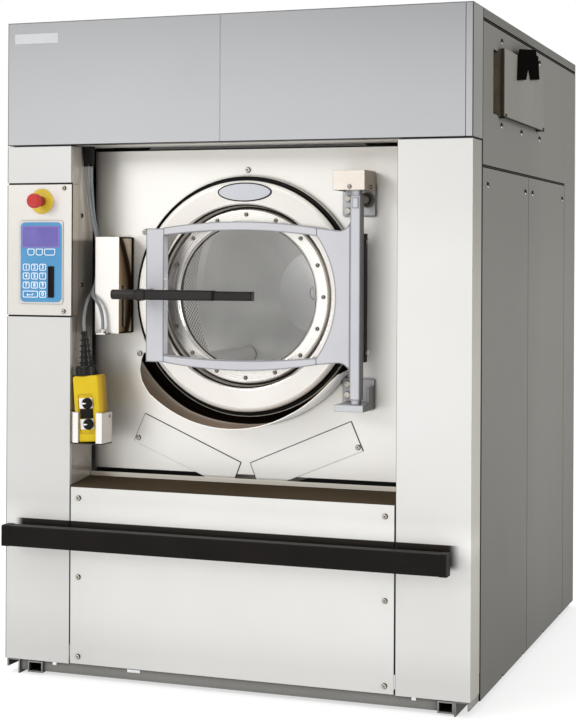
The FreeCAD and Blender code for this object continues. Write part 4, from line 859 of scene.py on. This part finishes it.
def lathe(bm, profile, origin, axis, seg=24):
    """Turned piece: profile of (radius, height) in mm from origin along axis."""
    ax = Vector(axis).normalized()
    up = Vector((0, 0, 1)) if abs(ax.z) < 0.9 else Vector((1, 0, 0))
    e1 = ax.cross(up).normalized()
    e2 = ax.cross(e1).normalized()
    rings = []
    for r, h in profile:
        if r < 1e-6:
            rings.append([bm.verts.new(origin + ax * (h / 1000.0))])
        else:
            rings.append([bm.verts.new(origin + ax * (h / 1000.0) + (e1 * math.cos(2 * math.pi * i / seg) + e2 * math.sin(2 * math.pi * i / seg)) * (r / 1000.0)) for i in range(seg)])
    for a, b in zip(rings, rings[1:]):
        for i in range(seg):
            j = (i + 1) % seg
            if len(a) == 1 and len(b) == 1:
                continue
            if len(a) == 1:
                bm.faces.new((a[0], b[j], b[i]))
            elif len(b) == 1:
                bm.faces.new((a[i], a[j], b[0]))
            else:
                bm.faces.new((a[i], a[j], b[j], b[i]))


def block(bm, x0, x1, f0, f1, z0, z1, bev=0.0):
    """Box with its edges bevelled."""
    t = bmesh.new()
    bmesh.ops.create_cube(t, size=1.0)
    for v in t.verts:
        v.co = mm(x0 + (v.co.x + 0.5) * (x1 - x0), f0 + (v.co.y + 0.5) * (f1 - f0), z0 + (v.co.z + 0.5) * (z1 - z0))
    if bev:
        bmesh.ops.bevel(t, geom=t.edges[:], offset=bev / 1000.0, segments=2, profile=0.6, affect="EDGES")
    tm = bpy.data.meshes.new("t")
    t.to_mesh(tm)
    t.free()
    bm.from_mesh(tm)
    bpy.data.meshes.remove(tm)


# keypad: raised keys with a printed outline
KX = (-598.1, -572.5, -546.9)
KZ = (1124.6, 1100.2, 1075.2, 1050.2)
KEYS = [(x - 10.4, x + 10.4, z - 9.3, z + 9.3, 4.2, (1, 1, 1, 1)) for z in KZ[:3] for x in KX]
KEYS += [(-608.5, -561.5, KZ[3] - 9.3, KZ[3] + 9.3, 4.2, (1, 1, 1, 1)), (-557.3, -536.5, KZ[3] - 9.3, KZ[3] + 9.3, 4.2, (1, 1, 1, 1))]
KEYS += [(-594.4, -573.0, 1157.0, 1175.6, 7.0, (1, 1, 0, 0)), (-568.6, -547.2, 1157.0, 1175.6, 7.0, (1, 1, 0, 0)), (-542.8, -509.2, 1157.0, 1175.6, 7.0, (1, 1, 0, 0))]
bm = bmesh.new()
for x0, x1, z0, z1, r, cor in KEYS:
    plate(bm, shrink(rounded(x0, x1, z0, z1, r, 6, cor), 0.6), -4.9, -4.2, 0.35)
add("keypad_keys", bm, "cabinet", "keypad")
bm = bmesh.new()
for x0, x1, z0, z1, r, cor in KEYS:
    o = rounded(x0, x1, z0, z1, r, 6, cor)
    band(bm, o, shrink(o, 2.1), -5.15, -4.2)
add("keypad_outlines", bm, "cabinet", "ink")

digits = bmesh.new()


def letter(text, x, z, size):
    cu = bpy.data.curves.new("digit", "FONT")
    cu.body = text
    cu.size = size
    cu.align_x = "CENTER"
    cu.align_y = "CENTER"
    cu.extrude = 0.09
    cu.offset = 0.34
    ob = bpy.data.objects.new("digit", cu)
    bpy.context.scene.collection.objects.link(ob)
    bpy.context.view_layer.update()
    me = bpy.data.meshes.new_from_object(ob.evaluated_get(bpy.context.evaluated_depsgraph_get()))
    for v in me.vertices:
        v.co = mm(x + v.co.x, -5.0 - v.co.z, z + v.co.y)
    digits.from_mesh(me)
    bpy.data.objects.remove(ob)
    bpy.data.meshes.remove(me)


for i, ch in enumerate("123456789"):
    letter(ch, KX[i % 3], KZ[i // 3] + 0.2, 14.5)
letter("0", -546.9, KZ[3] + 0.2, 14.5)
# return arrow on the wide key
for loop in ([(-592, 1049.3), (-578, 1049.3), (-578, 1053.8), (-576.2, 1053.8), (-576.2, 1047.5), (-592, 1047.5)], [(-592, 1052.2), (-597, 1048.4), (-592, 1044.6)]):
    plate(digits, loop, -5.09, -4.88, 0.02)
add("keypad_numerals", digits, "cabinet", "ink")

# card reader mouth beside the keys
bm = bmesh.new()
o = rounded(-530.4, -512.2, 1041.4, 1127.4, 2.0, 4)
band(bm, o, shrink(o, 3.2), -6.6, -4.2)
plate(bm, shrink(o, 3.1), -5.0, -4.2, 0.1)
block(bm, -522.4, -520.2, -5.4, -4.9, 1047.5, 1121.5, 0.2)
add("card_reader", bm, "cabinet", "slot")

# pendant station: white switch plates, centre block, knob pointers, sealing collar, all leaning with it
LEAN = Matrix.Translation(mm(-408.0, 0.0, 755.0)) @ Matrix.Rotation(math.radians(-4.5), 4, "Y") @ Matrix.Translation(-mm(-408.0, 0.0, 755.0))


def lean(bm):
    bmesh.ops.transform(bm, matrix=LEAN, verts=bm.verts)
    return bm


bm = bmesh.new()
for z in (755.0, 698.0):
    plate(bm, rounded(-435.6, -394.8, z - 14.3, z + 14.3, 3.0, 4), -1.0, 1.0, 0.5)
add("pendant_switch_plates", lean(bm), "cabinet", "white")
bm = bmesh.new()
block(bm, -434.0, -396.0, -3.0, 1.0, 713.5, 739.5, 1.4)
add("pendant_centre_block", lean(bm), "cabinet", "black")
for node, z in (("up", 755.0), ("down", 698.0)):
    bm = bmesh.new()
    plate(bm, [(-419.6, z - 2.9), (-408.6, z - 0.7), (-408.6, z + 0.7), (-419.6, z + 2.9)], -13.6, -12.4, 0.1)
    add("pendant_pointer_" + node, lean(bm), node + "_button", "white")
    bm = bmesh.new()
    lathe(bm, [(14.52, 4.2), (14.9, 4.2), (15.1, 4.6), (15.1, 6.6), (14.9, 7.0), (14.52, 7.0), (14.52, 4.2)], mm(-408.0, -1.3, z), (0, -1, 0), 32)
    add("pendant_button_band_" + node, lean(bm), node + "_button", "black")
bm = bmesh.new()
for k in range(14):
    a = 2 * math.pi * k / 14
    c = mm(-418.0, 24.0, 841.5) + Vector((math.cos(a) * 0.0286, math.sin(a) * 0.0286, 0))
    lathe(bm, [(0, -10.5), (1.9, -10.5), (2.6, -9.5), (2.6, 9.0), (1.9, 10.0), (0, 10.0)], c, (0, 0, 1), 10)
add("pendant_collar_ribs", lean(bm), "cabinet", "rubber")

# sealing nut where the cable enters the lock box
bm = bmesh.new()
lathe(bm, [(4.7, 0.0), (8.6, 0.0), (9.2, 0.6), (9.2, 5.4), (8.6, 6.0), (4.7, 6.0), (4.7, 0.0)], mm(-388.0, 46.0, 949.0), (0, 0, 1), 6)
add("lock_cable_nut", bm, "drum_unit", "zinc")

# bolt heads on the strip behind the hinge bar
bm = bmesh.new()
for z in (1197.0, 905.0):
    lathe(bm, [(0, 0.0), (7.0, 0.0), (7.0, 1.4), (9.0, 1.4), (9.0, 6.0), (8.0, 7.0), (0, 7.0)], mm(352.0, 96.0, z), (1, 0, 0), 6)
add("hinge_strip_bolts", bm, "door", "bolt_light")

# vent cover: standoff bolts at its corners
bm = bmesh.new()
for f, z in ((296.0, 1537.0), (808.0, 1537.0)):
    lathe(bm, [(0, 0.0), (5.0, 0.0), (5.0, 3.0), (4.0, 4.0), (0, 4.0)], mm(678.5, f, z), (1, 0, 0), 6)
add("vent_cover_bolts", bm, "cabinet", "bolt_dark")

# plated clips along the front base member
bm = bmesh.new()
for x0, x1 in ((-518.0, -506.0), (-292.0, -254.0), (505.0, 517.0)):
    block(bm, x0, x1, 8.6, 10.2, 30.0, 38.0, 0.5)
add("base_clips", bm, "cabinet", "zinc")

# dark strips round the upper edges of the two access covers, painted shade standing for the shadow lines there
def bead(bm, pts, w, f0, f1):
    """Thin strip of width w outside the polyline (X, Z)."""
    for (ax, az), (bx, bz) in zip(pts, pts[1:]):
        d = Vector((bx - ax, bz - az)).normalized()
        n = Vector((-d.y, d.x)) * w
        ex = d * w * 0.5
        q = [(ax - ex.x, az - ex.y), (bx + ex.x, bz + ex.y), (bx + ex.x + n.x, bz + ex.y + n.y), (ax - ex.x + n.x, az - ex.y + n.y)]
        va = [bm.verts.new(mm(x, f0, z)) for x, z in q]
        vb = [bm.verts.new(mm(x, f1, z)) for x, z in q]
        bm.faces.new(va)
        bm.faces.new(vb[::-1])
        for k in range(4):
            bm.faces.new((va[k], vb[k], vb[(k + 1) % 4], va[(k + 1) % 4]))


bm = bmesh.new()
bead(bm, [(-339, 641), (-306, 717)], 1.3, 148.6, 150.0)
bead(bm, [(-306, 717), (-20, 594)], 1.9, 148.6, 150.0)
bead(bm, [(-20, 594), (-38, 548)], 1.9, 148.6, 150.0)
bead(bm, [(28, 548), (10, 594)], 1.9, 148.6, 150.0)
bead(bm, [(10, 594), (296, 717)], 1.9, 148.6, 150.0)
bead(bm, [(296, 717), (329, 641)], 1.9, 148.6, 150.0)
add("access_cover_shade_lines", bm, "drum_unit", "seal")

# baffle across the front of the side vent, behind its cover; its brown colour is painted shade
bm = bmesh.new()
block(bm, 600.0, 661.0, 287.6, 289.4, 1537.6, 1706.4)
block(bm, 661.0, 675.6, 287.6, 289.4, 1533.0, 1713.0)
add("vent_baffle", bm, "cabinet", "brown")

# black sealing strips in the joints of the outer sides
bm = bmesh.new()
for s in (-1, 1):
    for f0, f1, z0, z1 in ((96.3, 107.7, 92.0, 1458.0), (105.2, 107.8, 1462.0, 1796.0), (108.2, 1258.8, 1391.2, 1394.8), (108.2, 1446.0, 1769.2, 1772.8), (998.2, 999.8, 1773.2, 1796.5)):
        block(bm, s * 658.4, s * 659.4, f0, f1, z0, z1)
add("side_seals", bm, "cabinet", "seal")

# black strips in the joints of the lower panel with the columns
bm = bmesh.new()
for s in (-1, 1):
    block(bm, s * 459.2, s * 466.0, 3.4, 7.0, 92.0, 523.0)
add("lower_panel_seals", bm, "cabinet", "seal")

# black ring between the tub ring and the inner panel, standing for the shade in the gap there (painted shade), in the
# flanged edge of the panel's hole
bm = bmesh.new()
lathe(bm, [(315.2, -11.0), (324.6, -11.0), (324.6, -16.6), (325.5, -16.6), (325.5, -0.3), (315.2, -0.3), (315.2, -11.0)], mm(0.0, 150.0, 1049.0), (0, 1, 0), 160)
add("ring_gap_shade", bm, "drum_unit", "seal")
bm = bmesh.new()
lathe(bm, [(325.6, -17.0), (326.0, -17.6), (326.7, -17.6), (327.1, -17.0), (327.1, -0.2), (325.6, -0.2), (325.6, -17.0)], mm(0.0, 150.0, 1049.0), (0, 1, 0), 160)
add("hole_flange", bm, "drum_unit", "lip")

# dark strip at the back of the lock box on the panel, standing for the shade in the gap there (painted shade)
bm = bmesh.new()
block(bm, -348.0, -344.4, 147.6, 149.9, 944.0, 1208.0, 0.4)
add("lock_box_gap_shade", bm, "drum_unit", "seal")

# hood round the two cable glands, with a nut on each
bm = bmesh.new()
rows = []
for z, hx, hf in ((1411.0, 13.2, 6.2), (1413.0, 14.0, 6.8), (1438.0, 15.8, 7.8), (1459.0, 16.3, 8.2)):
    rows.append([bm.verts.new(mm(-445.2 + hx * max(-1, min(1, 1.25 * math.cos(2 * math.pi * k / 24))), 70.0 + hf * max(-1, min(1, 1.25 * math.sin(2 * math.pi * k / 24))), z)) for k in range(24)])
for a, b in zip(rows, rows[1:]):
    for k in range(24):
        bm.faces.new((a[k], a[(k + 1) % 24], b[(k + 1) % 24], b[k]))
bm.faces.new(rows[0][::-1])
bm.faces.new(rows[-1])
for x in (-453.5, -437.0):
    lathe(bm, [(4.8, 0.0), (6.6, 0.0), (7.2, 0.8), (7.2, 5.6), (6.4, 6.6), (4.8, 6.6), (4.8, 0.0)], mm(x, 70.0, 1404.6), (0, 0, 1), 12)
add("gland_hood", bm, "cabinet", "black")

# filler behind the joint of the two header covers
bm = bmesh.new()
block(bm, -25.95, -24.05, 0.35, 1.8, 1462.0, 1797.0)
add("header_joint", bm, "cabinet", "header")

# plain oval plate on the ring, blank label on the header
bm = bmesh.new()
BZ, BX = 1331.0, 3.0
oval = [(BX + 77.0 * math.cos(2 * math.pi * i / 64), BZ + 25.0 * math.sin(2 * math.pi * i / 64)) for i in range(64)]
plate(bm, oval, 109.2, 112.0, 0.8)
add("ring_badge", bm, "drum_unit", "badge")
bm = bmesh.new()
o1 = [(BX + 77.6 * math.cos(2 * math.pi * i / 64), BZ + 25.6 * math.sin(2 * math.pi * i / 64)) for i in range(64)]
band(bm, o1, shrink(o1, 3.0), 108.6, 112.0)
add("ring_badge_border", bm, "drum_unit", "black")
bm = bmesh.new()
plate(bm, rounded(-639.0, -506.0, 1741.0, 1769.0, 1.5, 3), -0.5, 0.0, 0.15)
add("header_label", bm, "cabinet", "label")

# ------------------------------------------------------------------ cables
PENDANT_ROUTE = [
    (-437.0, 70.0, 1404.0), (-437.0, 70.0, 1380.0), (-439.4, 76.0, 1352.0), (-441.5, 85.5, 1322.0),
    (-442.8, 93.0, 1287.0), (-441.0, 100.0, 1251.0), (-436.6, 105.2, 1221.0), (-432.6, 108.2, 1188.0),
    (-431.6, 109.2, 1150.0), (-432.0, 107.5, 1115.0), (-434.4, 99.0, 1085.0), (-437.4, 84.0, 1063.0),
    (-438.8, 68.0, 1047.5), (-438.8, 54.0, 1035.5), (-438.6, 43.0, 1019.5), (-438.4, 34.5, 1000.0),
    (-436.8, 27.6, 979.5), (-434.4464, 24.0, 963.5693), (-433.348, 24.0, 949.6125),
]
LOCK_ROUTE = [
    (-453.5, 70.0, 1404.0), (-453.5, 70.0, 1380.0), (-449.6, 72.0, 1352.0), (-446.5, 76.0, 1322.0),
    (-444.6, 81.0, 1287.0), (-440.6, 87.0, 1251.0), (-434.6, 91.5, 1221.0), (-429.8, 94.5, 1188.0),
    (-428.6, 95.0, 1150.0), (-428.6, 92.0, 1112.0), (-429.0, 82.0, 1080.0), (-429.0, 68.0, 1060.0),
    (-423.5, 53.5, 1046.5), (-411.0, 47.5, 1036.5), (-398.5, 46.3, 1021.0), (-391.5, 46.0, 1001.0),
    (-388.4, 46.0, 981.0), (-388.0, 46.0, 968.0), (-388.0, 46.0, 955.0),
]
CORD_R = 0.0045


def cord_curve(name, route):
    cu = bpy.data.curves.new(name, "CURVE")
    cu.dimensions = "3D"
    cu.bevel_depth = CORD_R
    cu.bevel_resolution = 5
    cu.resolution_u = 10
    cu.use_fill_caps = True
    sp = cu.splines.new("NURBS")
    sp.points.add(len(route) - 1)
    for p, q in zip(sp.points, route):
        p.co = (*mm(*q), 1.0)
    sp.order_u = 3
    sp.use_endpoint_u = True
    ob = bpy.data.objects.new(name, cu)
    bpy.context.scene.collection.objects.link(ob)
    cu.materials.append(M["cord"])
    return ob


cord_a = cord_curve("pendant_cable", PENDANT_ROUTE)
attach(cord_a, "cabinet")
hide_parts("pendant_cord")

# the lock cable is a tube of rings along its route
def spline_points(route):
    """Points along the route's own spline."""
    cu = bpy.data.curves.new("route", "CURVE")
    cu.dimensions = "3D"
    cu.resolution_u = 6
    sp = cu.splines.new("NURBS")
    sp.points.add(len(route) - 1)
    for p, q in zip(sp.points, route):
        p.co = (*mm(*q), 1.0)
    sp.order_u = 3
    sp.use_endpoint_u = True
    ob = bpy.data.objects.new("route", cu)
    bpy.context.scene.collection.objects.link(ob)
    bpy.context.view_layer.update()
    me = bpy.data.meshes.new_from_object(ob.evaluated_get(bpy.context.evaluated_depsgraph_get()))
    pts = [v.co.copy() for v in me.vertices]
    bpy.data.objects.remove(ob)
    bpy.data.meshes.remove(me)
    bpy.data.curves.remove(cu)
    return pts


def tube(bm, pts, r, seg=14):
    prev_n = Vector((1, 0, 0))
    rings = []
    for i, p in enumerate(pts):
        t = (pts[min(i + 1, len(pts) - 1)] - pts[max(i - 1, 0)]).normalized()
        nrm = (prev_n - t * prev_n.dot(t)).normalized()
        bi = t.cross(nrm)
        prev_n = nrm
        rings.append([bm.verts.new(p + (nrm * math.cos(2 * math.pi * k / seg) + bi * math.sin(2 * math.pi * k / seg)) * r) for k in range(seg)])
    for a, b in zip(rings, rings[1:]):
        for k in range(seg):
            bm.faces.new((a[k], a[(k + 1) % seg], b[(k + 1) % seg], b[k]))
    bm.faces.new(rings[0][::-1])
    bm.faces.new(rings[-1])


LP = spline_points(LOCK_ROUTE)
bm = bmesh.new()
tube(bm, LP, CORD_R)
bmesh.ops.recalc_face_normals(bm, faces=bm.faces)
me = bpy.data.meshes.new("lock_cable")
bm.to_mesh(me)
bm.free()
me.polygons.foreach_set("use_smooth", [True] * len(me.polygons))
me.set_sharp_from_angle(angle=math.radians(50))
me.materials.append(M["cord"])
cord_b = bpy.data.objects.new("lock_cable", me)
bpy.context.scene.collection.objects.link(cord_b)
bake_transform(cord_b)
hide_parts("lock_cord")

# ------------------------------------------------------------------ floor, light, camera
g = Mat("studio_floor")
cl = g.noise(0.8, detail=3.0)
g.set(Base_Color=g.mix(g.rng(cl, 0.3, 0.7, 0, 1), (0.40, 0.40, 0.40, 1), (0.38, 0.38, 0.38, 1)), Roughness=g.rng(cl, 0.2, 0.8, 0.75, 0.9), Specular_IOR_Level=0.1, Emission_Color=(1, 1, 1, 1), Emission_Strength=0.66)
bm = bmesh.new()
S = 120.0
vs = [bm.verts.new((x, y, 0.0)) for x, y in ((-S, -S), (S, -S), (S, S), (-S, S))]
bm.faces.new(vs)
me = bpy.data.meshes.new("floor")
bm.to_mesh(me)
bm.free()
me.materials.append(g.m)
floor = bpy.data.objects.new("floor", me)
bpy.context.scene.collection.objects.link(floor)

w = bpy.data.worlds.new("studio")
bpy.context.scene.world = w
w.use_nodes = True
nt = w.node_tree
nt.nodes.clear()
out = nt.nodes.new("ShaderNodeOutputWorld")
bg = nt.nodes.new("ShaderNodeBackground")
nt.links.new(bg.outputs[0], out.inputs[0])
tc = nt.nodes.new("ShaderNodeTexCoord")
sep = nt.nodes.new("ShaderNodeSeparateXYZ")
nt.links.new(tc.outputs["Generated"], sep.inputs[0])
rx = nt.nodes.new("ShaderNodeValToRGB")
mr = nt.nodes.new("ShaderNodeMapRange")
mr.inputs["From Min"].default_value = -1.0
mr.inputs["From Max"].default_value = 1.0
nt.links.new(sep.outputs[0], mr.inputs["Value"])
nt.links.new(mr.outputs[0], rx.inputs["Fac"])
els = rx.color_ramp.elements
els[0].position, els[0].color = 0.0, (0.75, 0.75, 0.75, 1)
els[1].position, els[1].color = 1.0, (0.30, 0.30, 0.295, 1)
for p, cval in ((0.22, 1.0), (0.48, 1.0), (0.60, 0.45), (0.66, 0.26), (0.84, 0.24)):
    e = els.new(p)
    e.color = (cval, cval, cval * 0.995, 1)
nt.links.new(rx.outputs["Color"], bg.inputs["Color"])
zr = nt.nodes.new("ShaderNodeMapRange")
zr.interpolation_type = "SMOOTHSTEP"
zr.inputs["From Min"].default_value = 0.25
zr.inputs["From Max"].default_value = 0.9
zr.inputs["To Min"].default_value = 1.01
zr.inputs["To Max"].default_value = 1.9
nt.links.new(sep.outputs[2], zr.inputs["Value"])
nt.links.new(zr.outputs[0], bg.inputs["Strength"])


def area(name, loc, target, size, energy, colour=(1, 1, 1)):
    li = bpy.data.lights.new(name, "AREA")
    li.shape = "RECTANGLE"
    li.size, li.size_y = size
    li.energy = energy
    li.color = colour
    ob = bpy.data.objects.new(name, li)
    bpy.context.scene.collection.objects.link(ob)
    ob.visible_camera = False
    ob.location = loc
    ob.rotation_euler = (Vector(target) - Vector(loc)).to_track_quat("-Z", "Y").to_euler()
    return ob


area("key", (-4.6, -8.0, 4.2), (0.0, -0.3, 0.9), (3.0, 2.4), 142.0)
area("side_fill", (5.5, -2.2, 2.6), (0.7, 0.1, 0.9), (2.6, 2.6), 150.0)
area("drum_fill", (0.30, F + 0.262, 1.049 + 0.15), (-0.12, F + 0.80, 1.02), (0.30, 0.06), 7.0)

cam_data = bpy.data.cameras.new("camera")
cam = bpy.data.objects.new("camera", cam_data)
bpy.context.scene.collection.objects.link(cam)
YAW, ROLL = 0.3465, 0.0048
fwd = Vector((-math.sin(YAW), math.cos(YAW), 0.0))
right = Vector((math.cos(YAW), math.sin(YAW), 0.0))
up = Vector((0.0, 0.0, 1.0))
r2 = right * math.cos(ROLL) + up * math.sin(ROLL)
u2 = -right * math.sin(ROLL) + up * math.cos(ROLL)
rot = Matrix((r2, u2, -fwd)).transposed()
cam.matrix_world = Matrix.Translation((1.632055, -4.777957, 1.154864)) @ rot.to_4x4()
cam_data.sensor_width = 36.0
cam_data.lens = 82.63
cam_data.shift_x = 0.0
cam_data.shift_y = -0.1425
cam_data.dof.use_dof = False
bpy.context.scene.camera = cam

vs = bpy.context.scene.view_settings
vs.view_transform = "Standard"
vs.look = "None"
vs.exposure = 0.0
vs.gamma = 1.0
